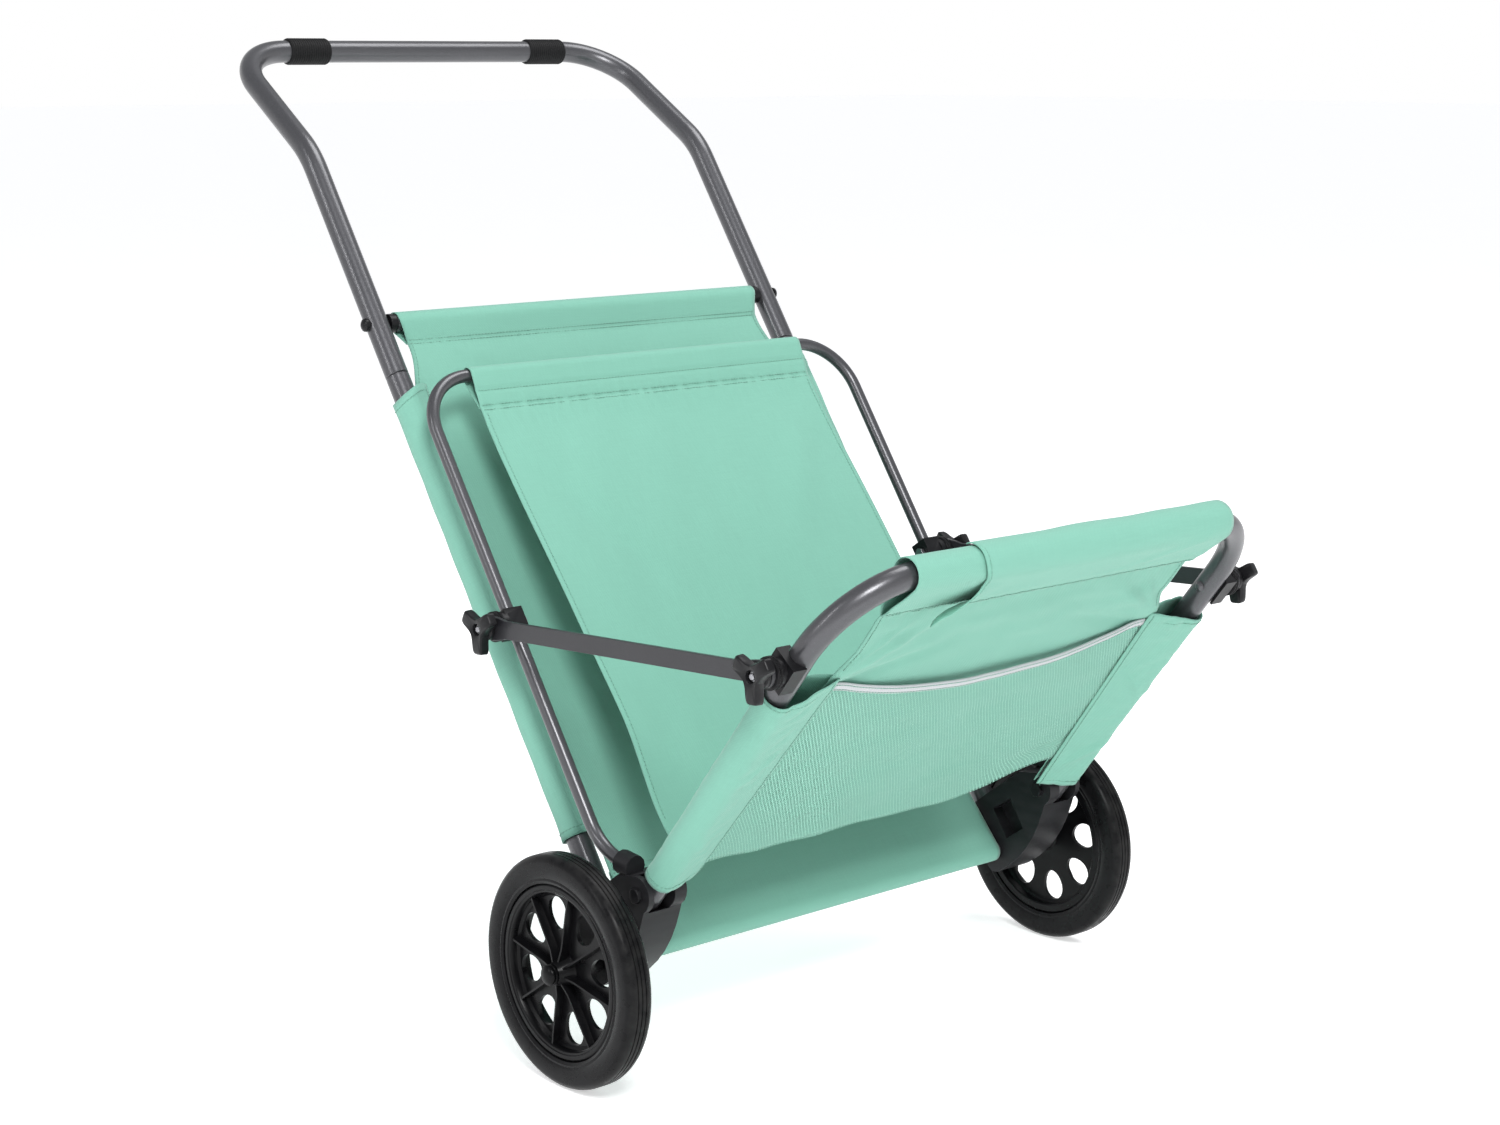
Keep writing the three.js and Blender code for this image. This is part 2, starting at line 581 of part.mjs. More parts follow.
/** The three-lobed clamping knob, with its neck against the stay and a recess round the bolt's end. */
function clampKnob() {
  const outline = new THREE.Shape();
  const tip = KNOB_REACH - KNOB_LOBE_RADIUS;
  for (let lobe = 0; lobe < 3; lobe += 1) {
    const angle = (2 * Math.PI * lobe) / 3 + Math.PI / 6;
    const cx = tip * Math.cos(angle);
    const cy = tip * Math.sin(angle);
    if (lobe === 0) {
      const start = angle - Math.PI / 2;
      outline.moveTo(cx + KNOB_LOBE_RADIUS * Math.cos(start), cy + KNOB_LOBE_RADIUS * Math.sin(start));
    }
    outline.absarc(cx, cy, KNOB_LOBE_RADIUS, angle - Math.PI / 2, angle + Math.PI / 2, false);
    const next = angle + (2 * Math.PI) / 3;
    const nx = tip * Math.cos(next) + KNOB_LOBE_RADIUS * Math.cos(next - Math.PI / 2);
    const ny = tip * Math.sin(next) + KNOB_LOBE_RADIUS * Math.sin(next - Math.PI / 2);
    const middle = angle + Math.PI / 3;
    outline.quadraticCurveTo(5 * Math.cos(middle), 5 * Math.sin(middle), nx, ny);
  }
  const wingStart = knobInner + KNOB_NECK_LENGTH;
  const wings = plateX(outline, wingStart, wingStart + KNOB_THICKNESS);
  const neck = rodX(knobInner, wingStart + 1, KNOB_NECK_RADIUS, 0, 0, 16);
  const bore = rodX(knobInner - 1, wingStart + 4, boltBore, 0, 0, 8);
  const recess = rodX(wingStart + 3.5, wingStart + KNOB_THICKNESS + 1, 5.5, 0, 0, 12);
  return cut(join(wings, neck), bore, recess);
}

/** A flat stay from its front pivot at the origin to a rear pivot at length along +Y. */
function stayBar(length) {
  const outline = new THREE.Shape();
  const half = STAY_WIDTH / 2;
  const flare = STAY_HEAD_RADIUS * 2.2;
  outline.absarc(0, 0, STAY_HEAD_RADIUS, Math.PI / 2, (3 * Math.PI) / 2, false);
  outline.quadraticCurveTo(flare / 2, -STAY_HEAD_RADIUS, flare, -half);
  outline.lineTo(length - flare, -half);
  outline.quadraticCurveTo(length - flare / 2, -STAY_HEAD_RADIUS, length, -STAY_HEAD_RADIUS);
  outline.absarc(length, 0, STAY_HEAD_RADIUS, -Math.PI / 2, Math.PI / 2, false);
  outline.quadraticCurveTo(length - flare / 2, STAY_HEAD_RADIUS, length - flare, half);
  outline.lineTo(flare, half);
  outline.quadraticCurveTo(flare / 2, STAY_HEAD_RADIUS, 0, STAY_HEAD_RADIUS);
  const bar = plateX(outline, stayInner, stayOuter);
  const holes = [0, length].map((y) => rodX(stayInner - 1, stayOuter + 1, boltBore, y, 0, 8));
  return cut(bar, ...holes);
}

/** Where a place on the front frame's leg, at a distance from the pivot, lies in the main frame. */
function onFrontLeg(distance) {
  const y = PIVOT.y - distance * Math.sin(FRONT_ANGLE);
  const z = PIVOT.z + distance * Math.cos(FRONT_ANGLE);
  return new THREE.Vector3(0, y, z);
}

// ---------------------------------------------------------------- wheels
function tyre() {
  const half = TYRE_WIDTH / 2;
  const inner = RIM_RADIUS + GAP;
  const profile = [
    [inner, WHEEL_PLANE - half + 1.5],
    [inner + 9, WHEEL_PLANE - half],
    [WHEEL_RADIUS - 7, WHEEL_PLANE - half + 0.8],
    [WHEEL_RADIUS - 2, WHEEL_PLANE - half + 4.5],
    [WHEEL_RADIUS, WHEEL_PLANE - half + 9],
    [WHEEL_RADIUS, WHEEL_PLANE + half - 9],
    [WHEEL_RADIUS - 2, WHEEL_PLANE + half - 4.5],
    [WHEEL_RADIUS - 7, WHEEL_PLANE + half - 0.8],
    [inner + 9, WHEEL_PLANE + half],
    [inner, WHEEL_PLANE + half - 1.5],
    [inner, WHEEL_PLANE - half + 1.5],
  ];
  return turnedX(profile, 40);
}

function rim() {
  const half = RIM_WIDTH / 2;
  const inner = RIM_RADIUS - RIM_WALL;
  const web = WEB_THICKNESS / 2;
  const hub = HUB_LENGTH / 2;
  const bore = axleBore;
  const profile = [
    [bore, -hub],
    [HUB_RADIUS, -hub],
    [HUB_RADIUS, -web],
    [inner, -web],
    [inner, -half],
    [RIM_RADIUS, -half],
    [RIM_RADIUS, half],
    [inner, half],
    [inner, web],
    [HUB_RADIUS, web],
    [HUB_CAP_RADIUS, hub],
    [bore, hub],
    [bore, -hub],
  ];
  const body = turnedX(profile, 32);
  const spokes = [];
  const holes = [];
  for (let i = 0; i < SPOKE_COUNT; i += 1) {
    const angle = (2 * Math.PI * i) / SPOKE_COUNT;
    const fin = new THREE.Shape();
    fin.moveTo(HUB_RADIUS - 3, 0);
    fin.lineTo(inner + 1, 0);
    fin.lineTo(inner + 1, half - 4);
    fin.lineTo(HUB_RADIUS + 6, hub - 5);
    fin.lineTo(HUB_RADIUS - 3, hub - 4);
    const options = { depth: SPOKE_THICKNESS, bevelEnabled: false };
    const spoke = new THREE.ExtrudeGeometry(fin, options).translate(0, 0, -SPOKE_THICKNESS / 2);
    const turn = new THREE.Matrix4().makeBasis(
      new THREE.Vector3(0, Math.cos(angle), Math.sin(angle)),
      new THREE.Vector3(1, 0, 0),
      new THREE.Vector3(0, Math.sin(angle), -Math.cos(angle)),
    );
    spokes.push(spoke.applyMatrix4(turn));
    const hole = new THREE.CylinderGeometry(1, 1, 4 * WEB_THICKNESS, 12).rotateZ(Math.PI / 2);
    hole.scale(1, HOLE_LENGTH / 2, HOLE_WIDTH / 2).translate(0, HOLE_CIRCLE, 0);
    holes.push(hole.rotateX(angle + Math.PI / SPOKE_COUNT));
  }
  return cut(join(body, ...spokes), ...holes).translate(WHEEL_PLANE, 0, 0);
}

function hubCap() {
  const start = WHEEL_PLANE + HUB_LENGTH / 2 + GAP;
  const end = start + HUB_CAP_LENGTH;
  const r = HUB_CAP_RADIUS;
  return turnedX([[0, start], [r, start], [r, end - 4.4], [0.8 * r, end - 1.8], [0.4 * r, end - 0.4], [0, end]], 16);
}

// ---------------------------------------------------------------- assembly
const cart = new THREE.Group();
const frame = new THREE.Group();
frame.rotation.x = -LEAN;
cart.add(frame);

add(frame, 'handle_tube', handleTube(), tubeFinish);
addPair(frame, 'grip_band', gripBand(), plasticFinish);
addPair(frame, 'side_tube', sideTube(), tubeFinish);
addCrossbars(frame);
addPair(frame, 'side_bracket', sideBracket(), plasticFinish);
addPair(frame, 'pivot_bolt', pivotBolt(), plasticFinish);
addPair(frame, 'axle_spacer', ringX(
  BRACKET_OUTER + GAP,
  WHEEL_PLANE - HUB_LENGTH / 2 - GAP,
  axleBore,
  AXLE_RADIUS + 3,
  12,
), plasticFinish);
add(frame, 'inner_hoop', innerHoop(HOOP_RADIUS), tubeFinish);
add(frame, 'back_panel', backPanel(), clothFinish);
add(frame, 'inner_sling', innerSling(), clothFinish);

addPair(frame, 'wheel_tyre', tyre(), tyreFinish);
addPair(frame, 'wheel_rim', rim(), plasticFinish);
addPair(frame, 'hub_cap', hubCap(), plasticFinish);

const front = new THREE.Group();
front.position.set(0, PIVOT.y, PIVOT.z);
front.rotation.x = FRONT_ANGLE;
frame.add(front);
add(front, 'front_tube', frontTube(), tubeFinish);
add(front, 'front_panel', frontPanel(), clothFinish);
const pocketY = -(CLOTH + GAP);
const pocketEdge = [[POCKET_FOOT_WIDTH / 2, POCKET_FOOT], [POCKET_TOP_WIDTH / 2, POCKET_TOP]];
add(front, 'mesh_pocket', sheet(pocketEdge, pocketY, CLOTH), meshFinish);
const tapeEdge = [[POCKET_TOP_WIDTH / 2, POCKET_TOP + GAP], [POCKET_TOP_WIDTH / 2, POCKET_TOP + GAP + TAPE_WIDTH]];
add(front, 'pocket_tape', sheet(tapeEdge, pocketY, CLOTH), tapeFinish);
addPair(front, 'front_saddle', frontSaddle().translate(0, 0, FRONT_CLAMP), plasticFinish);
addPair(front, 'front_bolt', frontBolt().translate(0, 0, FRONT_CLAMP), steelFinish);
addPair(front, 'front_disc_inner', clampDisc(clampDiscInner).translate(0, 0, FRONT_CLAMP), plasticFinish);
addPair(front, 'front_knob', clampKnob().translate(0, 0, FRONT_CLAMP), plasticFinish);

const frontClamp = onFrontLeg(FRONT_CLAMP);
const rearClamp = new THREE.Vector3(0, -HOOP_FORWARD, REAR_CLAMP_HEIGHT);
const stay = new THREE.Group();
stay.position.copy(frontClamp);
stay.rotation.x = Math.atan2(rearClamp.z - frontClamp.z, rearClamp.y - frontClamp.y);
frame.add(stay);
const stayLength = frontClamp.distanceTo(rearClamp);
const rearBolt = rodX(stayDiscInner + GAP, knobInner + KNOB_NECK_LENGTH + 3, BOLT_RADIUS, 0, 0, 8);
addPair(stay, 'stay_bar', stayBar(stayLength), stayFinish);
addPair(stay, 'front_disc_outer', clampDisc(stayDiscInner), plasticFinish);
addPair(stay, 'rear_disc_outer', clampDisc(stayDiscInner).translate(0, stayLength, 0), plasticFinish);
addPair(stay, 'rear_bolt', rearBolt.translate(0, stayLength, 0), steelFinish);
addPair(stay, 'rear_knob', clampKnob().translate(0, stayLength, 0), plasticFinish);

const collar = new THREE.Group();
collar.position.copy(rearClamp);
frame.add(collar);
addPair(collar, 'sliding_collar', slidingCollar(), plasticFinish);
addPair(collar, 'collar_nut', rodX(hoopX - 9 - GAP - 4, hoopX - 9 - GAP, 5.5, 0, 0, 6), steelFinish);
addPair(collar, 'rear_disc_inner', clampDisc(clampDiscInner), plasticFinish);

// The origin is on the floor under the middle of the cart's whole box.
cart.updateMatrixWorld(true);
const bounds = new THREE.Box3().setFromObject(cart, true);
cart.position.y = -(bounds.min.y + bounds.max.y) / 2;
cart.position.z = -bounds.min.z;

export default cart;
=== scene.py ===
"""Looks of a two-wheeled pull cart: finishes, cloth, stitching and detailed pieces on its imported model.

Sizes in the classes are millimetres; a Place turns them into metres in the model's own frame.
"""

import json
import logging
import math
from dataclasses import dataclass
from enum import Enum
from typing import Any, Callable, Sequence

import bmesh
import bpy
from mathutils import Matrix, Vector, noise


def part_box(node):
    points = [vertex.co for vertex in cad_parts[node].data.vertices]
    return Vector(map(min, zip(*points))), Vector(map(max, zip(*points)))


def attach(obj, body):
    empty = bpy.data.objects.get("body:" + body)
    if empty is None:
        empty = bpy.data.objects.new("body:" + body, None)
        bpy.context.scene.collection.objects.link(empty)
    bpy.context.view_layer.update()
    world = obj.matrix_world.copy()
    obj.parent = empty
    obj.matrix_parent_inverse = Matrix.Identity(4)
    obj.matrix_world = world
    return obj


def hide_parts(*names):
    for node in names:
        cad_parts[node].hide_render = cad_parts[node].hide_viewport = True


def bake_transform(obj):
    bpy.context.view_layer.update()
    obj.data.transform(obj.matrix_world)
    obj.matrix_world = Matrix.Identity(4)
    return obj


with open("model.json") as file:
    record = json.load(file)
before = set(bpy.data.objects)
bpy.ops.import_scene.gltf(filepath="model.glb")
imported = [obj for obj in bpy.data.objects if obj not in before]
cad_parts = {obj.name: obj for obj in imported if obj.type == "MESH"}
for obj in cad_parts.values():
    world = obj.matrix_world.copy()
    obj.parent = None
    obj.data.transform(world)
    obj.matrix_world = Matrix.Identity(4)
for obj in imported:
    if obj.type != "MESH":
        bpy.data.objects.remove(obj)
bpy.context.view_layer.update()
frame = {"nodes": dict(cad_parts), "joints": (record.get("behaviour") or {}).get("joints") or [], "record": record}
LOG = logging.getLogger("cart")
MM = 0.001
SIDES = {"left": -1, "right": 1}
BODY_OF = {node: body for body, nodes in frame["record"]["behaviour"]["bodies"].items() for node in nodes}


# ------------------------------------------------------------------ places
def joint(name: str) -> dict:
    """The record's joint of that name."""
    return next(j for j in frame["joints"] if j["name"] == name)


def middle(name: str) -> Vector:
    """The place of a joint, moved to the cart's middle plane."""
    return Vector((0, *joint(name)["pos_m"][1:]))


@dataclass(frozen=True)
class Place:
    """The axes of one frame of the cart: X across, Y and Z in its own plane."""

    origin: Vector
    up: Vector

    @property
    def back(self) -> Vector:
        """The axis square to up, on its back side."""
        return Vector((0, self.up.z, -self.up.y))

    def at(self, x: float, y: float, z: float) -> Vector:
        """The point at these millimetres along the own axes, in metres of the model's frame."""
        return self.origin + (Vector((x, 0, 0)) + self.back * y + self.up * z) * MM

    def toward(self, x: float, y: float, z: float) -> Vector:
        """The unit vector of a direction along the own axes."""
        return (Vector((x, 0, 0)) + self.back * y + self.up * z).normalized()

    def local(self, point: Vector) -> Vector:
        """The millimetres along the own axes of a point of the model's frame."""
        step = (point - self.origin) / MM
        return Vector((step.x, step.dot(self.back), step.dot(self.up)))


MAIN = Place(middle("wheel_left_spin"), Vector(joint("collar_left_slide")["axis"]).normalized())
PIVOT = middle("front_fold")
FRONT_CLAMP = middle("stay_left_swing")
REAR_CLAMP = middle("rear_knob_left_turn")
FRONT = Place(PIVOT, (FRONT_CLAMP - PIVOT).normalized())
STAY_RUN = (REAR_CLAMP - FRONT_CLAMP).normalized()
STAY = Place(FRONT_CLAMP, Vector((0, -STAY_RUN.z, STAY_RUN.y)))


# ------------------------------------------------------------------ meshes
def linked(name: str, data: bpy.types.ID) -> bpy.types.Object:
    """An object of a mesh, a light or a camera, linked to the scene."""
    thing = bpy.data.objects.new(name, data)
    bpy.context.scene.collection.objects.link(thing)
    return thing


def smooth_shaded(mesh: bpy.types.Mesh) -> bpy.types.Mesh:
    """Shades every face of a mesh smooth."""
    mesh.polygons.foreach_set("use_smooth", [True] * len(mesh.polygons))
    return mesh


def new_object(name: str, points: Sequence[Vector], faces: Sequence[Sequence[int]],
               edges: Sequence[tuple[int, int]] = ()) -> bpy.types.Object:
    """A smooth-shaded mesh object from points in metres.

    Args:
        name: The object's name.
        points: Its corners.
        faces: The corners of each face, by number.
        edges: The ends of each loose edge, by number.

    Returns:
        The object, linked to the scene.
    """
    mesh = bpy.data.meshes.new(name)
    mesh.from_pydata([tuple(p) for p in points], edges, faces)
    return linked(name, smooth_shaded(mesh))


def grid(name: str, rows: Sequence[Sequence[Vector]],
         uv: Callable[[int, int], tuple[float, float]] | None = None,
         around: bool = False, along: bool = False, caps: bool = False) -> bpy.types.Object:
    """A mesh of rows of points.

    Args:
        name: The object's name.
        rows: Rows of equally many points.
        uv: The pattern place, in metres, of a row and a column.
        around: Whether each row closes on itself.
        along: Whether the last row joins the first.
        caps: Whether the first and last rows are filled.

    Returns:
        The object.
    """
    count, width = len(rows), len(rows[0])
    points = [p for row in rows for p in row]
    corners = []
    for r in range(count if along else count - 1):
        for c in range(width if around else width - 1):
            corners.append([(r, c), (r, c + 1), (r + 1, c + 1), (r + 1, c)])
    faces = [[(r % count) * width + c % width for r, c in quad] for quad in corners]
    quads = len(faces)
    if caps:
        faces += [list(range(width))[::-1], [(count - 1) * width + c for c in range(width)]]
    thing = new_object(name, points, faces)
    if uv:
        layer = thing.data.uv_layers.new(name="Cloth")
        for number, quad in enumerate(corners):
            for k, (r, c) in enumerate(quad):
                layer.data[number * 4 + k].uv = uv(r, c)
    if caps:
        for face in list(thing.data.polygons)[quads:]:
            face.use_smooth = False
    return thing


def outward(thing: bpy.types.Object, sharp: float = 40) -> bpy.types.Object:
    """Points a closed mesh's faces outwards and marks its edges sharper than an angle in degrees."""
    work = bmesh.new()
    work.from_mesh(thing.data)
    bmesh.ops.remove_doubles(work, verts=work.verts, dist=1e-6)
    bmesh.ops.recalc_face_normals(work, faces=work.faces)
    work.to_mesh(thing.data)
    work.free()
    thing.data.set_sharp_from_angle(angle=math.radians(sharp))
    return thing


def joined(name: str, things: Sequence[bpy.types.Object]) -> bpy.types.Object:
    """One object from several meshes.

    Args:
        name: The new object's name.
        things: The objects, which are used up.

    Returns:
        The joined object.
    """
    work = bmesh.new()
    for thing in things:
        work.from_mesh(thing.data)
    mesh = bpy.data.meshes.new(name)
    work.to_mesh(mesh)
    work.free()
    for thing in things:
        bpy.data.objects.remove(thing)
    return linked(name, mesh)


def settled(thing: bpy.types.Object) -> bpy.types.Object:
    """Turns an object and its modifiers into a plain mesh, and takes the modifiers off."""
    graph = bpy.context.evaluated_depsgraph_get()
    mesh = bpy.data.meshes.new_from_object(thing.evaluated_get(graph))
    thing.modifiers.clear()
    thing.data = mesh
    return thing


def bevelled(thing: bpy.types.Object, width: float, segments: int = 2) -> bpy.types.Object:
    """Adds a small round to the edges that turn more than 35 degrees.

    Args:
        thing: The object.
        width: The round's width in millimetres.
        segments: The steps of the round.

    Returns:
        The same object.
    """
    bevel = thing.modifiers.new("Rounds", "BEVEL")
    bevel.width = width * MM
    bevel.segments = segments
    bevel.limit_method = "ANGLE"
    bevel.angle_limit = math.radians(35)
    bevel.harden_normals = True
    return thing


def softened(node: str, width: float) -> bpy.types.Object:
    """A copy of a CAD node with its loose triangles merged and its edges rounded.

    Args:
        node: The CAD node.
        width: The round's width in millimetres.

    Returns:
        The new object, named after the node.
    """
    mesh = frame["nodes"][node].data.copy()
    work = bmesh.new()
    work.from_mesh(mesh)
    bmesh.ops.remove_doubles(work, verts=work.verts, dist=1e-5)
    bmesh.ops.dissolve_limit(work, angle_limit=math.radians(2), verts=work.verts, edges=work.edges)
    work.to_mesh(mesh)
    work.free()
    mesh.materials.clear()
    smooth_shaded(mesh).set_sharp_from_angle(angle=math.radians(32))
    return bevelled(linked(f"{node}_moulded", mesh), width)


def bent_path(corners: Sequence[Vector], radii: Sequence[float], step: float = 5) -> list[Vector]:
    """A path of straight runs and round bends.

    Args:
        corners: The corners of the path.
        radii: The radius of the bend at each inner corner.
        step: The turn in degrees from one point of a bend to the next.

    Returns:
        The path's points.
    """
    points = [corners[0]]
    for before, corner, after, radius in zip(corners, corners[1:], corners[2:], radii):
        inward = (corner - before).normalized()
        onward = (after - corner).normalized()
        turn = inward.angle(onward)
        reach = radius * math.tan(turn / 2)
        start = corner - inward * reach
        side = (onward - inward * inward.dot(onward)).normalized()
        steps = max(2, math.ceil(math.degrees(turn) / step))
        for k in range(steps + 1):
            angle = turn * k / steps
            points.append(start + inward * (radius * math.sin(angle))
                          + side * (radius * (1 - math.cos(angle))))
    points.append(corners[-1])
    return points


def tube(name: str, place: Place, path: Sequence[Vector], radius: float, sides: int = 40,
         lip: float = 0.8) -> bpy.types.Object:
    """A round tube along a path, with a small round at its ends.

    Args:
        name: The object's name.
        place: The frame the path is drawn in.
        path: The tube's centre line in millimetres.
        radius: The tube's radius in millimetres.
        sides: How many flats go round it.
        lip: The round at each end in millimetres.

    Returns:
        The object.
    """
    first, last = (path[1] - path[0]).normalized(), (path[-1] - path[-2]).normalized()
    line = [path[0], path[0] + first * lip, *path[1:-1], path[-1] - last * lip, path[-1]]
    widths = [radius - lip, *[radius] * (len(line) - 2), radius - lip]
    side = Vector((1, 0, 0)) if abs(first.x) < 0.7 else Vector((0, 1, 0))
    rows = []
    for k, point in enumerate(line):
        here = (line[min(k + 1, len(line) - 1)] - line[max(k - 1, 0)]).normalized()
        side = (side - here * side.dot(here)).normalized()
        over = here.cross(side)
        turns = (2 * math.pi * c / sides for c in range(sides))
        rows.append([place.at(*(point + (side * math.cos(a) + over * math.sin(a)) * widths[k]))
                     for a in turns])
    return outward(grid(name, rows, around=True, caps=True))


def turned(name: str, place: Place, profile: Sequence[tuple[float, float]], y: float = 0, z: float = 0,
           segments: int = 96) -> bpy.types.Object:
    """A closed profile turned about an axis along X.

    Args:
        name: The object's name.
        place: The frame it is drawn in.
        profile: (radius, x) pairs in millimetres; closed on itself unless both ends are on the axis.
        y: The axis's place.
        z: The axis's place.
        segments: The steps round the axis.

    Returns:
        The object.
    """
    rows = []
    for k in range(segments):
        angle = 2 * math.pi * k / segments
        rows.append([place.at(x, y + r * math.cos(angle), z + r * math.sin(angle)) for r, x in profile])
    solid = profile[0][0] == 0 and profile[-1][0] == 0
    return outward(grid(name, rows, around=not solid, along=True), sharp=34)


def pipe_outline(inner: float, outer: float, low: float, high: float,
                 lip: float) -> list[tuple[float, float]]:
    """The (radius, x) outline of a pipe whose outer rims are cut back by a lip, in millimetres."""
    return [(inner, low), (outer - lip, low), (outer, low + lip),
            (outer, high - lip), (outer - lip, high), (inner, high)]


# ------------------------------------------------------------------ shader maths
class Value:
    """A shader socket that adds a Math node for each operator."""

    def __init__(self, look: "Look", socket: bpy.types.NodeSocket) -> None:
        """Keeps the material's builder and the socket."""
        self.look = look
        self.socket = socket

    def math(self, operation: str, *others: Any) -> "Value":
        """This value and others through a Math node."""
        inputs = {k + 1: other for k, other in enumerate(others)}
        return self.look.node("Math", {"operation": operation}, {0: self, **inputs})

    def __add__(self, other: Any) -> "Value":
        """The sum."""
        return self.math("ADD", other)

    __radd__ = __add__

    def __mul__(self, other: Any) -> "Value":
        """The product."""
        return self.math("MULTIPLY", other)

    __rmul__ = __mul__

    def __sub__(self, other: Any) -> "Value":
        """The difference."""
        return self.math("SUBTRACT", other)

    def __rsub__(self, other: float) -> "Value":
        """A number less this value."""
        return self.look.node("Math", {"operation": "SUBTRACT"}, {0: other, 1: self})

    def sine(self) -> "Value":
        """The sine."""
        return self.math("SINE")

    def absolute(self) -> "Value":
        """The size without sign."""
        return self.math("ABSOLUTE")

    def between(self, low: float, high: float) -> "Value":
        """A smooth step from nought at low to one at high."""
        settings = {"interpolation_type": "SMOOTHSTEP"}
        return self.look.node("MapRange", settings, {"Value": self, "From Min": low, "From Max": high})


class Look:
    """Builds one material around a Principled shader."""

    def __init__(self, name: str) -> None:
        """Starts an empty material of that name."""
        self.material = bpy.data.materials.new(name)
        self.material.use_nodes = True
        self.tree = self.material.node_tree
        self.tree.nodes.clear()
        self.shader = self.tree.nodes.new("ShaderNodeBsdfPrincipled")
        output = self.tree.nodes.new("ShaderNodeOutputMaterial")
        self.tree.links.new(self.shader.outputs[0], output.inputs["Surface"])

    def node(self, kind: str, settings: dict | None = None, inputs: dict | None = None,
             output: int | str = 0) -> Value:
        """Adds a node.

        Args:
            kind: The node's type without its ShaderNode prefix.
            settings: Its settings, set before its sockets.
            inputs: Values or links of its sockets, by name or number.
            output: Which output is returned.

        Returns:
            The output as a value.
        """
        added = self.tree.nodes.new(f"ShaderNode{kind}")
        for key, setting in (settings or {}).items():
            setattr(added, key, setting)
        for key, given in (inputs or {}).items():
            self.put(added.inputs[key], given)
        return Value(self, added.outputs[output])

    def put(self, socket: bpy.types.NodeSocket, given: Any) -> None:
        """Links a value to a socket or sets the socket's own number or colour."""
        if isinstance(given, Value):
            self.tree.links.new(given.socket, socket)
        else:
            socket.default_value = given

    def feed(self, **sockets: Any) -> None:
        """Sets the shader's sockets, with spaces in their names as underscores."""
        for key, given in sockets.items():
            self.put(self.shader.inputs[key.replace("_", " ")], given)

    def mix(self, factor: Any, first: Any, second: Any) -> Value:
        """A blend of two colours."""
        return self.node("Mix", {"data_type": "RGBA"}, {0: factor, 6: first, 7: second}, output=2)

    def noise(self, where: Value, scale: float, detail: float = 2) -> Value:
        """Smooth noise from 0 to 1, with features of about 1 / scale metres."""
        return self.node("TexNoise", {}, {"Vector": where, "Scale": scale, "Detail": detail})

    def place(self, uv: bool = False) -> Value:
        """The object's own coordinates in metres, or its cloth map."""
        return self.node("TexCoord", output="UV" if uv else "Object")

    def stretched(self, where: Value, x: float, y: float, z: float) -> Value:
        """A place scaled along each axis."""
        return self.node("Mapping", {}, {"Vector": where, "Scale": (x, y, z)})

    def axes(self, where: Value) -> tuple[Value, Value]:
        """The first two parts of a place."""
        parts = self.node("SeparateXYZ", {}, {0: where})
        return parts, Value(self, parts.socket.node.outputs[1])

    def bump(self, height: Value, distance: float, strength: float = 1.0) -> None:
        """Feeds the shader's normal from a height, with its depth in metres."""
        inputs = {"Height": height, "Distance": distance, "Strength": strength}
        self.feed(Normal=self.node("Bump", {}, inputs))


Colour = tuple[float, float, float, float]


def shade(colour: Colour, factor: float) -> Colour:
    """A colour made lighter or darker."""
    return (*(min(1.0, part * factor) for part in colour[:3]), 1.0)


@dataclass(frozen=True)
class PaintedMetal:
    """Metallic powder coat: fine orange peel, small flakes, and a slightly uneven gloss."""

    name: str
    slot: str
    colour: Colour
    roughness: float
    metallic: float

    def make(self) -> bpy.types.Material:
        """The material."""
        look = Look(self.name)
        where = look.place()
        flakes = look.node("TexVoronoi", {}, {"Vector": where, "Scale": 1500.0}, output="Distance")
        cloud = look.noise(where, 14.0, 3)
        scuffs = look.noise(look.stretched(where, 60.0, 500.0, 500.0), 1.0, 4).between(0.66, 0.74)
        paint = look.mix(flakes.between(0.1, 0.6), shade(self.colour, 1.25), shade(self.colour, 0.85))
        worn = look.mix(cloud.between(0.3, 0.75), paint, shade(self.colour, 0.9))
        look.feed(Base_Color=look.mix(scuffs * 0.25, worn, shade(self.colour, 1.7)), Metallic=self.metallic)
        look.feed(Roughness=cloud * 0.14 + (self.roughness - 0.07) + scuffs * 0.1)
        look.bump(look.noise(where, 420.0, 2) + flakes * 0.25, 0.00012, 0.5)
        look.feed(Coat_Weight=0.25, Coat_Roughness=0.18)
        return look.material


@dataclass(frozen=True)
class Moulded:
    """Moulded plastic: a fine spark-eroded grain, faint flow marks and handling scuffs."""

    name: str
    slot: str
    colour: Colour
    roughness: float
    grain: float = 1100.0
    gloss: float = 0.2

    def make(self) -> bpy.types.Material:
        """The material."""
        look = Look(self.name)
        where = look.place()
        flow = look.noise(look.stretched(where, 30.0, 30.0, 110.0), 1.0, 3)
        scuffs = look.noise(where, 260.0, 5).between(0.62, 0.78)
        body = look.mix(flow.between(0.3, 0.7), shade(self.colour, 0.8), shade(self.colour, 1.3))
        look.feed(Base_Color=look.mix(scuffs * 0.3, body, shade(self.colour, 2.6)))
        look.feed(Roughness=flow * 0.16 + (self.roughness - 0.08) + scuffs * 0.12,
                  Specular_IOR_Level=self.gloss)
        look.bump(look.noise(where, self.grain, 2), 0.00005, 0.45)
        return look.material


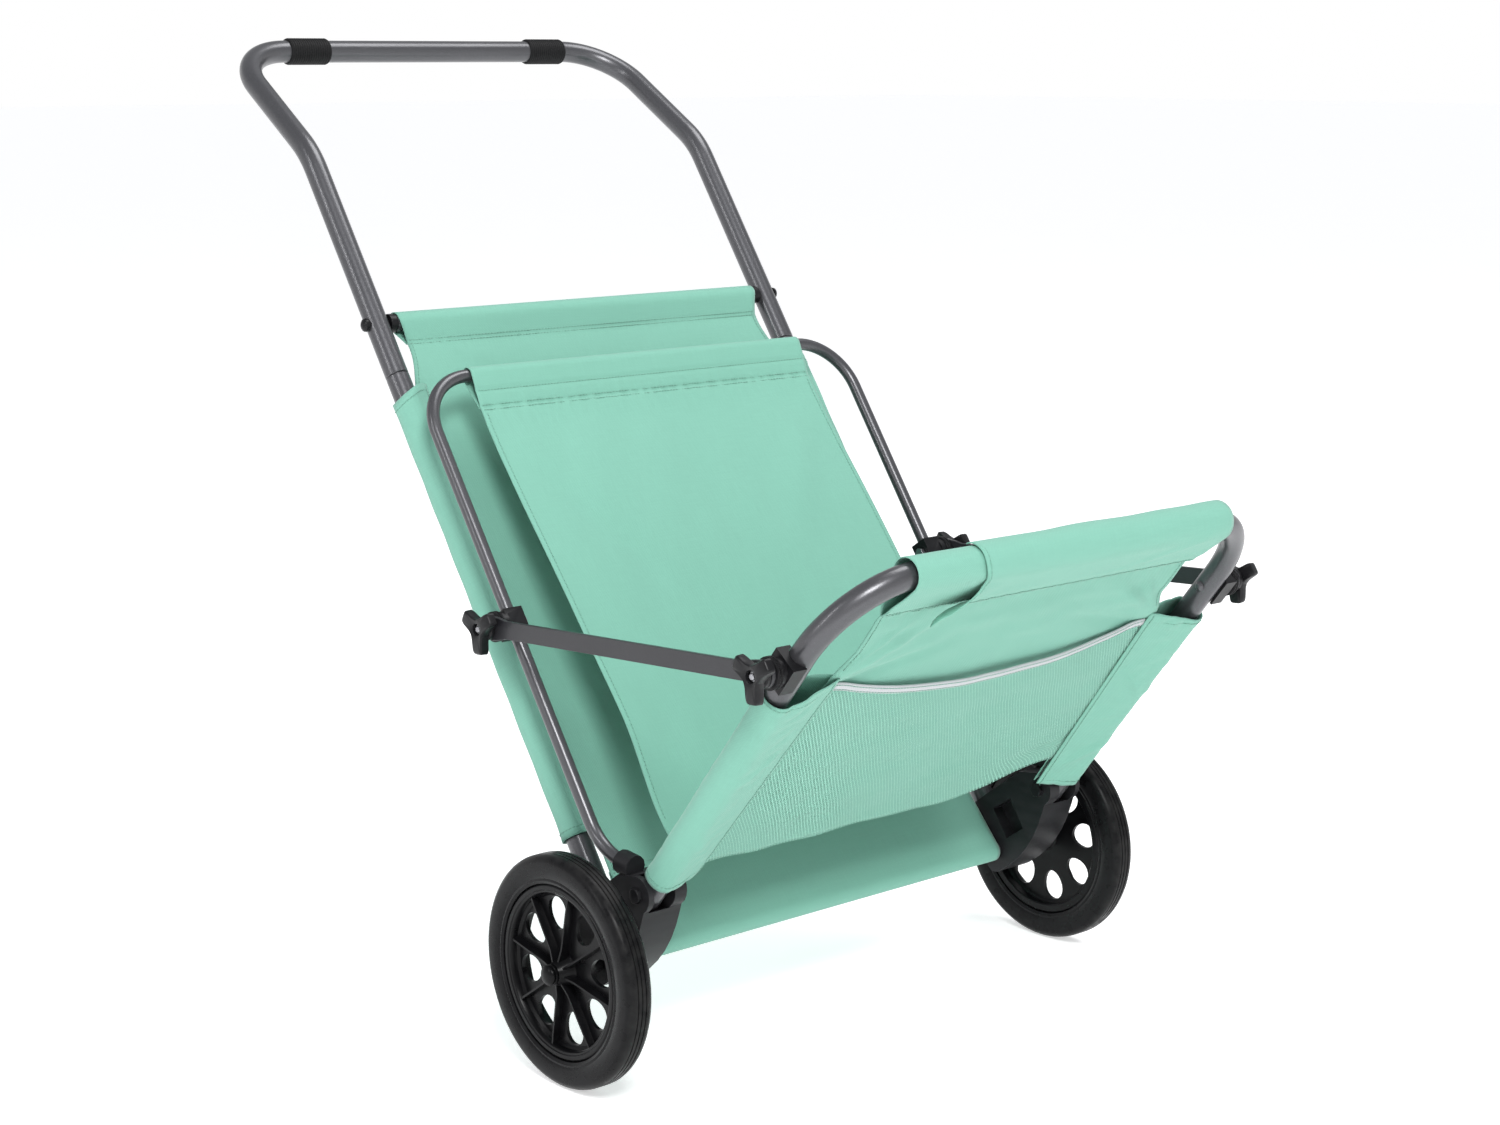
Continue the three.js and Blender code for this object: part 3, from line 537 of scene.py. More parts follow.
@dataclass(frozen=True)
class TyreFoam:
    """Black tyre: fine rings round the axle, a dusty worn tread and a soft sheen on the walls."""

    name: str
    slot: str
    colour: Colour
    tread: float = 0.097

    def make(self) -> bpy.types.Material:
        """The material."""
        look = Look(self.name)
        where = look.place()
        centred = look.node("Mapping", {}, {"Vector": where, "Location": tuple(-MAIN.origin)})
        flat = look.node("VectorMath", {"operation": "MULTIPLY"}, {0: centred, 1: (0.0, 1.0, 1.0)})
        radius = look.node("VectorMath", {"operation": "LENGTH"}, {0: flat}, output="Value")
        rings = (radius * 5200.0).sine()
        dust = look.noise(where, 90.0, 5)
        worn = radius.between(self.tread, self.tread + 0.005) * dust.between(0.35, 0.7)
        body = look.mix(dust.between(0.3, 0.8), self.colour, shade(self.colour, 1.5))
        look.feed(Base_Color=look.mix(worn * 0.3, body, (0.03, 0.029, 0.027, 1)))
        look.feed(Roughness=dust * 0.12 + 0.22 + worn * 0.2, Specular_IOR_Level=0.1)
        look.bump(rings * 0.3 + look.noise(where, 1400.0, 2), 0.00003, 0.4)
        return look.material


@dataclass(frozen=True)
class Weave:
    """Plain-woven polyester: crossing threads, slubs along them, and a soft cloudy tone."""

    name: str
    slot: str
    colour: Colour
    pitch: float = 0.0009

    def make(self) -> bpy.types.Material:
        """The material."""
        look = Look(self.name)
        where = look.place(uv=True)
        across, along = look.axes(where)
        warp = (across * (math.pi / self.pitch)).sine()
        weft = (along * (math.pi / self.pitch)).sine()
        cross = warp * weft
        slubs = look.noise(look.stretched(where, 900.0, 40.0, 1.0), 1.0, 2)
        slubs = slubs + look.noise(look.stretched(where, 40.0, 900.0, 1.0), 1.0, 2)
        cloud = look.noise(where, 9.0, 3)
        threads = look.mix(cross * 0.5 + 0.5, shade(self.colour, 0.9), shade(self.colour, 1.08))
        tone = look.mix(slubs.between(0.7, 1.3) * 0.5, threads, shade(self.colour, 0.9))
        look.feed(Base_Color=look.mix(cloud.between(0.35, 0.75) * 0.35, tone, shade(self.colour, 0.93)))
        look.feed(Roughness=cloud * 0.1 + 0.74, Specular_IOR_Level=0.3)
        look.feed(Sheen_Weight=0.18, Sheen_Roughness=0.4)
        look.bump(cross + slubs * 0.8, 0.00016, 0.45)
        return look.material


@dataclass(frozen=True)
class OpenMesh:
    """Knitted mesh: ribs that cross between rows of small diamond holes."""

    name: str
    slot: str
    colour: Colour
    width: float = 0.0036
    height: float = 0.0054

    def make(self) -> bpy.types.Material:
        """The material."""
        look = Look(self.name)
        where = look.place(uv=True)
        across, along = look.axes(where)
        u = across * (math.pi / self.width)
        v = along * (math.pi / self.height)
        rising = (u + v).sine().absolute()
        falling = (u - v).sine().absolute()
        strands = rising.math("MINIMUM", falling)
        thread = 1 - strands.between(0.34, 0.48)
        look.feed(Alpha=thread, Roughness=0.72, Specular_IOR_Level=0.3)
        fine = (along * (math.pi / 0.0006)).sine()
        tone = look.mix(fine * 0.5 + 0.5, shade(self.colour, 0.88), shade(self.colour, 1.1))
        look.feed(Base_Color=look.mix(strands.between(0.0, 0.4) * 0.5, shade(self.colour, 1.12), tone))
        look.feed(Sheen_Weight=0.15)
        look.bump(1 - strands + fine * 0.15, 0.0003, 0.6)
        return look.material


@dataclass(frozen=True)
class Webbing:
    """Woven binding tape: a fine herringbone with firm edges."""

    name: str
    slot: str
    colour: Colour

    def make(self) -> bpy.types.Material:
        """The material."""
        look = Look(self.name)
        across, along = look.axes(look.place(uv=True))
        bars = ((across + along.absolute()) * (math.pi / 0.0012)).sine()
        look.feed(Base_Color=look.mix(bars * 0.5 + 0.5, shade(self.colour, 0.86), self.colour))
        look.feed(Roughness=bars * 0.05 + 0.7, Sheen_Weight=0.2)
        look.bump(bars, 0.0002, 0.5)
        return look.material


@dataclass(frozen=True)
class PlatedSteel:
    """Zinc-plated steel with fine turned marks."""

    name: str
    slot: str
    colour: Colour

    def make(self) -> bpy.types.Material:
        """The material."""
        look = Look(self.name)
        where = look.place()
        marks = look.noise(look.stretched(where, 3000.0, 300.0, 300.0), 1.0, 2)
        tarnish = look.noise(where, 160.0, 4)
        look.feed(Base_Color=look.mix(tarnish.between(0.4, 0.75), self.colour, shade(self.colour, 0.7)))
        look.feed(Metallic=1.0, Roughness=marks * 0.2 + tarnish * 0.15 + 0.15)
        look.bump(marks, 0.00005, 0.4)
        return look.material


class Finish(Enum):
    """The cart's finishes."""

    TUBE = PaintedMetal("tube powder coat", "tube", (0.085, 0.085, 0.092, 1), 0.33, 0.6)
    STAY = PaintedMetal("stay paint", "stay", (0.022, 0.022, 0.026, 1), 0.5, 0.3)
    STEEL = PlatedSteel("zinc plated steel", "steel", (0.36, 0.36, 0.38, 1))
    TYRE = TyreFoam("black tyre rubber", "tyre", (0.006, 0.006, 0.0065, 1))
    PLASTIC = Moulded("black moulded plastic", "plastic", (0.008, 0.008, 0.009, 1), 0.36)
    BRACKET = Moulded("grey black moulded plastic", "plastic", (0.013, 0.013, 0.0145, 1), 0.42, 800.0)
    WHEEL = Moulded("black wheel plastic", "plastic", (0.0035, 0.0035, 0.004, 1), 0.3, 1100.0, 0.13)
    GRIP = Moulded("grip plastic", "grip", (0.006, 0.006, 0.0065, 1), 0.6, 1600.0)
    CLOTH = Weave("mint woven polyester", "cloth", (0.187, 0.425, 0.335, 1))
    MESH = OpenMesh("mint knitted mesh", "mesh", (0.24, 0.50, 0.40, 1))
    TAPE = Webbing("grey binding tape", "tape", (0.50, 0.51, 0.53, 1))
    THREAD = Webbing("mint thread", "cloth", (0.15, 0.35, 0.27, 1))

    @property
    def material(self) -> bpy.types.Material:
        """The finish's material, made once."""
        return bpy.data.materials.get(self.value.name) or self.value.make()


def dress(piece: bpy.types.Object, finish: Finish, body: str, *nodes: str) -> bpy.types.Object:
    """Gives a piece its finish and says what it moves with and stands for.

    Args:
        piece: The piece.
        finish: Its finish.
        body: The CAD body it moves with.
        nodes: The CAD nodes it replaces.

    Returns:
        The same piece.
    """
    if not piece.data.materials:
        piece.data.materials.append(finish.material)
    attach(piece, body)
    if nodes:
        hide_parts(*nodes)
    LOG.info("%s rides on %s, %s", piece.name, body, finish.value.name)
    return piece


# ------------------------------------------------------------------ repeated detail
class Rows:
    """A Geometry Nodes tree, built from a chain of nodes with named inputs."""

    def __init__(self, name: str, sizes: dict[str, float]) -> None:
        """Starts a tree with a mesh input, one input for each size, and a finish."""
        self.tree = bpy.data.node_groups.new(name, "GeometryNodeTree")
        face = self.tree.interface
        face.new_socket("Geometry", in_out="INPUT", socket_type="NodeSocketGeometry")
        for key, size in sizes.items():
            kind = "NodeSocketInt" if isinstance(size, int) else "NodeSocketFloat"
            face.new_socket(key, in_out="INPUT", socket_type=kind).default_value = size
        face.new_socket("Finish", in_out="INPUT", socket_type="NodeSocketMaterial")
        face.new_socket("Geometry", in_out="OUTPUT", socket_type="NodeSocketGeometry")
        self.given = self.tree.nodes.new("NodeGroupInput")
        self.result = self.tree.nodes.new("NodeGroupOutput")

    def node(self, kind: str, settings: dict | None = None, inputs: dict | None = None) -> bpy.types.Node:
        """Adds a node with its settings and its sockets' values or links."""
        added = self.tree.nodes.new(kind)
        for key, setting in (settings or {}).items():
            setattr(added, key, setting)
        for key, given in (inputs or {}).items():
            if isinstance(given, bpy.types.NodeSocket):
                self.tree.links.new(given, added.inputs[key])
            else:
                added.inputs[key].default_value = given
        return added

    def finish(self, instances: bpy.types.NodeSocket) -> None:
        """Realizes the instances, sets the finish and ends the tree."""
        solid = self.node("GeometryNodeRealizeInstances", {}, {"Geometry": instances})
        smooth = self.node("GeometryNodeSetShadeSmooth", {}, {"Geometry": solid.outputs[0]})
        inputs = {"Geometry": smooth.outputs[0], "Material": self.given.outputs["Finish"]}
        dressed = self.node("GeometryNodeSetMaterial", {}, inputs)
        self.tree.links.new(dressed.outputs[0], self.result.inputs[0])

    def run(self, thing: bpy.types.Object, finish: Finish, **sizes: float) -> bpy.types.Object:
        """Runs the tree on an object and keeps the result as its mesh.

        Args:
            thing: The object whose mesh is the path or surface.
            finish: The finish of what the tree makes.
            sizes: The tree's inputs, with spaces in their names as underscores.

        Returns:
            The same object with its new mesh.
        """
        change = thing.modifiers.new("Rows", "NODES")
        change.node_group = self.tree
        sockets = {s.name: s.identifier for s in self.tree.interface.items_tree if s.in_out == "INPUT"}
        for key, size in sizes.items():
            change[sockets[key.replace("_", " ")]] = size
        change[sockets["Finish"]] = finish.material
        return settled(thing)


def stitch_tree() -> Rows:
    """Stitches along the edges of a path."""
    rows = Rows("Stitches", {"Pitch": 0.0036, "Stitch Length": 0.0027, "Thread Radius": 0.0003})
    given = rows.given.outputs
    line = rows.node("GeometryNodeMeshToCurve", {}, {"Mesh": given["Geometry"]})
    inputs = {"Curve": line.outputs[0], "Length": given["Pitch"]}
    spots = rows.node("GeometryNodeResampleCurve", {"mode": "LENGTH"}, inputs)
    tangent = rows.node("GeometryNodeInputTangent")
    inputs = {"Vector": tangent.outputs[0]}
    turn = rows.node("FunctionNodeAlignEulerToVector", {"axis": "Z"}, inputs)
    inputs = {"Vertices": 6, "Radius": given["Thread Radius"], "Depth": given["Stitch Length"]}
    thread = rows.node("GeometryNodeMeshCylinder", {}, inputs)
    inputs = {"Points": spots.outputs[0], "Instance": thread.outputs[0], "Rotation": turn.outputs[0]}
    rows.finish(rows.node("GeometryNodeInstanceOnPoints", {}, inputs).outputs[0])
    return rows


def tooth_tree() -> Rows:
    """Small teeth on the corners of a ring that lies round the X axis."""
    sizes = {"Depth": 0.0012, "Width": 0.0008, "Length": 0.0024}
    rows = Rows("Teeth", sizes)
    given = rows.given.outputs
    size = rows.node("ShaderNodeCombineXYZ", {}, {0: given["Length"], 1: given["Depth"], 2: given["Width"]})
    tooth = rows.node("GeometryNodeMeshCube", {}, {"Size": size.outputs[0]})
    normal = rows.node("GeometryNodeInputNamedAttribute", {"data_type": "FLOAT_VECTOR"},
                       {"Name": "outward"})
    turn = rows.node("FunctionNodeAlignEulerToVector", {"axis": "Y", "pivot_axis": "X"},
                     {"Vector": normal.outputs[0]})
    inputs = {"Points": given["Geometry"], "Instance": tooth.outputs[0], "Rotation": turn.outputs[0]}
    rows.finish(rows.node("GeometryNodeInstanceOnPoints", {}, inputs).outputs[0])
    return rows


def rib_tree() -> Rows:
    """Round ribs along X, round the object's path of points."""
    rows = Rows("Ribs", {"Radius": 0.0125, "Rib": 0.0006})
    given = rows.given.outputs
    ring = rows.node("GeometryNodeCurvePrimitiveCircle", {}, {"Resolution": 40, "Radius": given["Radius"]})
    profile = rows.node("GeometryNodeCurvePrimitiveCircle", {}, {"Resolution": 6, "Radius": given["Rib"]})
    inputs = {"Curve": ring.outputs[0], "Profile Curve": profile.outputs[0]}
    rib = rows.node("GeometryNodeCurveToMesh", {}, inputs)
    inputs = {"Points": given["Geometry"], "Instance": rib.outputs[0], "Rotation": (0, math.pi / 2, 0)}
    rows.finish(rows.node("GeometryNodeInstanceOnPoints", {}, inputs).outputs[0])
    return rows


class Repeats:
    """The cart's trees for repeated detail."""

    def __init__(self) -> None:
        """Builds the trees once."""
        self.stitches = stitch_tree()
        self.teeth = tooth_tree()
        self.ribs = rib_tree()

    def seam(self, name: str, lines: Sequence[Sequence[Vector]], body: str) -> bpy.types.Object:
        """Rows of stitches.

        Args:
            name: The piece's name.
            lines: The path of each row, in metres.
            body: The CAD body the rows move with.

        Returns:
            The piece, dressed.
        """
        points, edges = [], []
        for line in lines:
            edges += [(len(points) + k, len(points) + k + 1) for k in range(len(line) - 1)]
            points += line
        thing = new_object(name, points, [], edges)
        return dress(self.stitches.run(thing, Finish.THREAD), Finish.THREAD, body)


# ------------------------------------------------------------------ metal frame
@dataclass
class Tubing:
    """The bent tubes and crossbars, drawn on the same lines as the CAD tubes but finely rounded."""

    repeats: Repeats
    radius: float = 11
    spacing: float = 480
    side_top: float = 577
    side_foot: float = 14
    gap: float = 0.3
    bend_height: float = 822
    bend_angle: float = 22.9
    reach: float = 177
    taper: float = 5
    bend_radius: float = 100
    corner_radius: float = 64
    band_length: float = 46
    crossbar_radius: float = 8
    crossbar_height: float = 633
    crossbar_length: float = 442
    hoop_spacing: float = 516.6
    hoop_radius: float = 6
    hoop_forward: float = 50
    hoop_top: float = 546
    hoop_corner: float = 54
    hoop_foot_height: float = 110
    hoop_foot_radius: float = 60
    hoop_foot_angle: float = 50
    hoop_foot_length: float = 10
    front_spacing: float = 501.6
    front_length: float = 380.7
    front_corner: float = 80
    front_tail: float = 12

    @property
    def grip(self) -> Vector:
        """The right corner of the grip."""
        angle = math.radians(self.bend_angle)
        x = self.spacing / 2 - self.taper
        return Vector((x, self.reach * math.sin(angle), self.bend_height + self.reach * math.cos(angle)))

    def handle(self) -> None:
        """The handle's tube and the two ribbed bands on the grip."""
        half, corner, foot = self.spacing / 2, self.grip, self.side_top + self.gap
        flipped = Vector((-corner.x, corner.y, corner.z))
        bend = Vector((half, 0, self.bend_height))
        ends = [Vector((-half, 0, foot)), Vector((-half, 0, bend.z))]
        corners = [*ends, flipped, corner, bend, Vector((half, 0, foot))]
        radii = [self.bend_radius, self.corner_radius, self.corner_radius, self.bend_radius]
        whole = tube("handle", MAIN, bent_path(corners, radii, 3), self.radius, 48)
        dress(whole, Finish.TUBE, "main_frame", "handle_tube")
        for side, sign in SIDES.items():
            self.band(side, sign)

    def band(self, side: str, sign: int) -> None:
        """One ribbed band of the grip."""
        outer = self.grip.x - self.corner_radius
        start, inner, wall = outer - self.band_length, self.radius + 0.3, 1.5
        lip = 0.7
        outline = pipe_outline(inner, inner + wall, start, outer, lip)
        profile = [(r, x * sign) for r, x in outline]
        y, z = self.grip.y, self.grip.z
        sleeve = turned(f"band_sleeve_{side}", MAIN, profile, y, z, 64)
        sleeve.data.materials.append(Finish.GRIP.material)
        count = 17
        step = (self.band_length - 4) / (count - 1)
        spots = [MAIN.at(sign * (start + 2 + step * k), y, z) for k in range(count)]
        ribs = self.repeats.ribs.run(new_object(f"band_ribs_{side}", spots, []), Finish.GRIP, Radius=0.0127,
                                     Rib=0.0006)
        piece = joined(f"ribbed_band_{side}", [sleeve, ribs])
        smooth_shaded(piece.data)
        dress(piece, Finish.GRIP, "main_frame", f"grip_band_{side}")

    def side_tubes(self) -> None:
        """The two straight tubes of the main frame."""
        for side, sign in SIDES.items():
            x = sign * self.spacing / 2
            line = [Vector((x, 0, -self.side_foot)), Vector((x, 0, self.side_top))]
            dress(tube(f"main_tube_{side}", MAIN, line, self.radius, 48), Finish.TUBE, "main_frame",
                  f"side_tube_{side}")

    def crossbars(self) -> None:
        """The crossbar under the handle, the one round the axle, and the axle."""
        half, z = self.crossbar_length / 2, self.crossbar_height
        line = [Vector((-half, 0, z)), Vector((half, 0, z))]
        dress(tube("crossbar_top", MAIN, line, self.crossbar_radius, 40), Finish.TUBE, "main_frame",
              "upper_crossbar")
        low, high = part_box("lower_crossbar")
        inner, lip = 5.5, 0.6
        profile = pipe_outline(inner, self.crossbar_radius, low.x / MM, high.x / MM, lip)
        bar = turned("crossbar_foot", MAIN, profile, segments=40)
        dress(bar, Finish.TUBE, "main_frame", "lower_crossbar")
        low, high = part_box("axle_rod")
        line = [Vector((low.x / MM, 0, 0)), Vector((high.x / MM, 0, 0))]
        dress(tube("axle", MAIN, line, 5, 32), Finish.STEEL, "main_frame", "axle_rod")

    def hoop(self) -> None:
        """The thin inner hoop."""
        half, angle = self.hoop_spacing / 2, math.radians(self.hoop_foot_angle)
        turn = self.hoop_foot_radius * math.tan(angle / 2)
        along = turn + self.hoop_foot_length
        bend_z, front = self.hoop_foot_height - turn, -self.hoop_forward
        foot_y, foot_z = front - along * math.sin(angle), bend_z - along * math.cos(angle)
        left = [Vector((-half, foot_y, foot_z)), Vector((-half, front, bend_z)),
                Vector((-half, front, self.hoop_top))]
        right = [Vector((-p.x, p.y, p.z)) for p in reversed(left)]
        radii = [self.hoop_foot_radius, self.hoop_corner, self.hoop_corner, self.hoop_foot_radius]
        path = bent_path([*left, *right], radii, 4)
        dress(tube("hoop", MAIN, path, self.hoop_radius, 32), Finish.TUBE, "main_frame", "inner_hoop")

    def front(self) -> None:
        """The hinged front tube."""
        half, tail, top = self.front_spacing / 2, -self.front_tail, self.front_length
        corners = [Vector((-half, 0, tail)), Vector((-half, 0, top)), Vector((half, 0, top)),
                   Vector((half, 0, tail))]
        path = bent_path(corners, [self.front_corner] * 2, 3)
        dress(tube("front_hoop", FRONT, path, self.radius, 48), Finish.TUBE, "front_frame", "front_tube")

    def build(self) -> None:
        """All the tubes."""
        self.handle()
        self.side_tubes()
        self.crossbars()
        self.hoop()
        self.front()


# ------------------------------------------------------------------ cloth
STITCH_LIFT = 0.0008  # how far stitches stand off a sleeve or flap, in metres
THREAD_HEIGHTS = (0.7, -0.7)  # where thread lies on both faces of a cloth, in millimetres over its middle
LAYER_GAP = 0.9  # half the distance between two layers sewn together, in millimetres
SEAM_STEPS = 20  # the steps of a seam from the middle of a cloth to its edge


@dataclass(frozen=True)
class Surface:
    """Cloth given by a rule: where it lies for millimetres across it and along it."""

    rule: Callable[[float, float], Vector]

    def off(self, u: float, v: float, height: float, step: float = 2.0) -> Vector:
        """A point at a height in millimetres over the cloth."""
        here = self.rule(u, v)
        across = self.rule(u + step, v) - self.rule(u - step, v)
        along = self.rule(u, v + step) - self.rule(u, v - step)
        return here + across.cross(along).normalized() * (height * MM)

    def seam(self, v: float, half: float, height: float) -> list[Vector]:
        """A line across the cloth between two half widths, at a height in millimetres over it."""
        return [self.off(s * half / SEAM_STEPS, v, height) for s in range(-SEAM_STEPS, SEAM_STEPS + 1)]

    def sheet(self, name: str, heights: Sequence[float], half: Callable[[float], float],
              columns: int) -> bpy.types.Object:
        """A mesh of the cloth, symmetric about its middle line.

        Args:
            name: The object's name.
            heights: Where its rows lie along it.
            half: Half its width at each row.
            columns: How many steps go across it.

        Returns:
            The object, with its cloth map.
        """
        shares = [2 * c / columns - 1 for c in range(columns + 1)]
        rows = [[self.rule(half(v) * s, v) for s in shares] for v in heights]
        return grid(name, rows, lambda r, c: (half(heights[r]) * shares[c] * MM, heights[r] * MM))


def smooth(value: float, low: float, high: float) -> float:
    """A smooth step from nought at low to one at high."""
    share = min(1.0, max(0.0, (value - low) / (high - low)))
    return share * share * (3 - 2 * share)


def steps(low: float, high: float, size: float) -> list[float]:
    """Even steps of about a size from low to high."""
    count = max(1, round((high - low) / size))
    return [low + (high - low) * k / count for k in range(count + 1)]


def ripple(u: float, v: float, size: float, seed: float) -> float:
    """Smooth random waves from about -1 to 1, of a size in millimetres."""
    return noise.noise(Vector((u / size, v / size, seed)))


def fold(u: float, v: float, start: tuple[float, float], end: tuple[float, float], width: float) -> float:
    """A soft crease along a line, one at its middle and fading to its ends and sides.

    Args:
        u: Where the cloth is asked for, across.
        v: Where the cloth is asked for, along.
        start: One end of the crease.
        end: Its other end.
        width: How wide it is.

    Returns:
        The crease's share, from 0 to 1.
    """
    run = Vector((end[0] - start[0], end[1] - start[1]))
    here = Vector((u - start[0], v - start[1]))
    share = here.dot(run) / run.length_squared
    if not 0 < share < 1:
        return 0.0
    away = (here - run * share).length / width
    return math.exp(-away * away) * math.sin(math.pi * share)


@dataclass(frozen=True)
class Crease:
    """A crease on the right half of a cloth, which has its mirror image on the left half."""

    depth: float
    start: tuple[float, float]
    end: tuple[float, float]
    width: float

    def share(self, u: float, v: float, sign: int) -> float:
        """The crease's share at a place, from 0 to 1, on the half of a sign."""
        start, end = ((sign * across, along) for across, along in (self.start, self.end))
        return fold(u, v, start, end, self.width)


def loop(radius: float, tail: float, gap: float, count: int = 22) -> list[tuple[float, float]]:
    """Cloth round a rod at the origin whose two layers meet at a distance below it.

    Args:
        radius: The rod's radius with the cloth's clearance.
        tail: How far below the rod's middle the layers meet.
        gap: Half the distance between the layers there.
        count: The steps round the rod.

    Returns:
        (y, z) points from the layer at negative y, over the rod, to the layer at positive y.
    """
    open_angle = math.acos(radius / tail)
    low = -math.pi / 2 - open_angle
    span = 2 * math.pi - 2 * open_angle
    turns = [low - span * k / count for k in range(count + 1)]
    return [(-gap, -tail), *[(radius * math.cos(a), radius * math.sin(a)) for a in turns], (gap, -tail)]


class Track:
    """A line in the Y-Z plane that is followed by the distance along it."""

    def __init__(self, points: Sequence[tuple[float, float]]) -> None:
        """Measures the line."""
        self.points = [Vector(p) for p in points]
        self.marks = [0.0]
        for a, b in zip(self.points, self.points[1:]):
            self.marks.append(self.marks[-1] + (b - a).length)

    @property
    def length(self) -> float:
        """The line's length."""
        return self.marks[-1]

    def at(self, distance: float) -> Vector:
        """The point at a distance along the line, which runs on straight past its ends."""
        k = next((i for i, mark in enumerate(self.marks[1:-1]) if distance < mark), len(self.marks) - 2)
        share = (distance - self.marks[k]) / (self.marks[k + 1] - self.marks[k])
        return self.points[k].lerp(self.points[k + 1], share)

    def normal(self, distance: float) -> Vector:
        """The line's unit normal, to the right of its run."""
        run = (self.at(distance + 3) - self.at(distance - 3)).normalized()
        return Vector((run.y, -run.x))


def thickened(piece: bpy.types.Object, thickness: float) -> bpy.types.Object:
    """Gives cloth its thickness in millimetres."""
    solid = piece.modifiers.new("Cloth thickness", "SOLIDIFY")
    solid.thickness = thickness * MM
    solid.offset = 0
    return piece


PANEL_CREASES = (
    Crease(2.4, (220, 575), (120, 420), 12),
    Crease(-1.8, (222, 110), (150, 260), 14),
    Crease(1.6, (214, 606), (90, 560), 9),
)
FRONT_CREASES = (
    Crease(4.2, (208, 250), (96, 322), 7),
    Crease(-3.0, (204, 240), (60, 284), 7),
    Crease(2.4, (196, 262), (130, 334), 4),
)


@dataclass
class BackPanel:
    """The tall panel between the main tubes, with its sleeves, hems and stitching."""

    repeats: Repeats
    tube_x: float = 240
    foot_half: float = 222
    tucked_half: float = 227
    neck_half: float = 221
    bar_height: float = 633
    sleeve_foot: float = 111
    sleeve_top: float = 560
    bar_cloth: float = 9.7
    tube_cloth: float = 12.6
    tail: float = 23
    foot_tail: float = 74
    sleeve_tail: float = 24
    thickness: float = 0.9

    def __post_init__(self) -> None:
        """Lays the panel's line from its foot hem, up the panel and over the crossbar."""
        foot = [(y, -z) for y, z in reversed(loop(self.bar_cloth, self.foot_tail, LAYER_GAP))]
        top = [(y, z + self.bar_height) for y, z in loop(self.bar_cloth, self.tail, LAYER_GAP)]
        self.track = Track([*foot, *top])
        self.foot_seam = self.track.marks[len(foot) - 1]
        self.top_seam = self.track.marks[len(foot)]

    def rise(self, distance: float) -> float:
        """The height over the axle at a distance along the panel's line."""
        return self.track.at(distance).y

    def point(self, u: float, v: float) -> Vector:
        """Where the panel lies."""
        spot, normal = self.track.at(v), self.track.normal(v)
        z = spot.y
        free = smooth(v, self.foot_seam, self.foot_seam + 60)
        free *= 1 - smooth(v, self.top_seam - 60, self.top_seam)
        side = 1 - smooth(abs(u), 180, 228)
        wave = 2.2 * ripple(u, z, 150, 1.5) + 1.2 * ripple(u, z * 0.4, 55, 4.5)
        for sign in (-1, 1):
            for crease in PANEL_CREASES:
                wave += crease.depth * crease.share(u, z, sign)
        pucker = 0.35 * math.sin(u * 0.55) * math.exp(-abs(v - self.top_seam) / 9)
        pucker += 0.3 * math.sin(u * 0.5) * math.exp(-abs(v - self.foot_seam) / 9)
        height = wave * free * (0.25 + 0.75 * side) + pucker
        flat = spot + normal * height
        return MAIN.at(u, flat.x, flat.y)

    def half(self, distance: float) -> float:
        """Half the panel's width, which narrows in a hollow curve towards the crossbar."""
        z = self.rise(distance)
        if z < self.sleeve_foot:
            share = smooth(z, self.sleeve_foot - 8, self.sleeve_foot)
            return self.foot_half + (self.tucked_half - self.foot_half) * share
        share = (z - self.sleeve_top) / (self.bar_height - self.sleeve_top)
        hollow = 6 * math.sin(math.pi * min(1.0, max(0.0, share)))
        narrowing = smooth(z, self.sleeve_top, 612)
        return self.tucked_half + (self.neck_half - self.tucked_half) * narrowing - hollow

    def panel(self) -> None:
        """The panel itself."""
        surface = Surface(self.point)
        end = self.track.length
        rows = steps(0, self.foot_seam, 3) + steps(self.foot_seam, self.top_seam, 6)[1:]
        rows += steps(self.top_seam, end, 3)[1:]
        piece = thickened(surface.sheet("back_cloth", rows, self.half, 84), self.thickness)
        dress(piece, Finish.CLOTH, "main_frame", "back_panel")
        seams = [self.top_seam - 1, self.top_seam + 3, self.foot_seam + 1, self.foot_seam - 3]
        lines = []
        low = [v for v in steps(self.foot_seam, self.top_seam, 8) if self.rise(v) < self.sleeve_foot - 6]
        high = [v for v in steps(self.foot_seam, self.top_seam, 5) if self.rise(v) > self.sleeve_top + 4]
        for height in THREAD_HEIGHTS:
            lines += [surface.seam(v, self.half(v) - 4, height) for v in seams]
            for sign in (-1, 1):
                for inset in (4, 12):
                    lines.append([surface.off(sign * (self.half(v) - inset), v, height) for v in low])
                lines.append([surface.off(sign * (self.half(v) - 4), v, height) for v in high])
        self.repeats.seam("back_stitches", lines, "main_frame")

    def sleeves(self) -> None:
        """The long sleeves round the main tubes."""
        outline = loop(self.tube_cloth, self.sleeve_tail, 1.4, 26)
        track = Track(outline)
        for side, sign in SIDES.items():
            def point(u: float, v: float, sign: int = sign) -> Vector:
                """Where the sleeve lies, for a distance round the tube and a height."""
                spot, normal = track.at(u), track.normal(u)
                loose = 0.5 * ripple(u * 0.6, v, 40, 7 + sign) + 0.5 * math.sin(v * 0.11 + u * 0.05)
                ends = math.exp(-(v - self.sleeve_foot) / 10) + math.exp(-(self.sleeve_top - v) / 10)
                flat = spot - normal * (0.5 + 0.45 * loose + 0.9 * ends)
                return MAIN.at(sign * (self.tube_x + flat.y), flat.x, v)

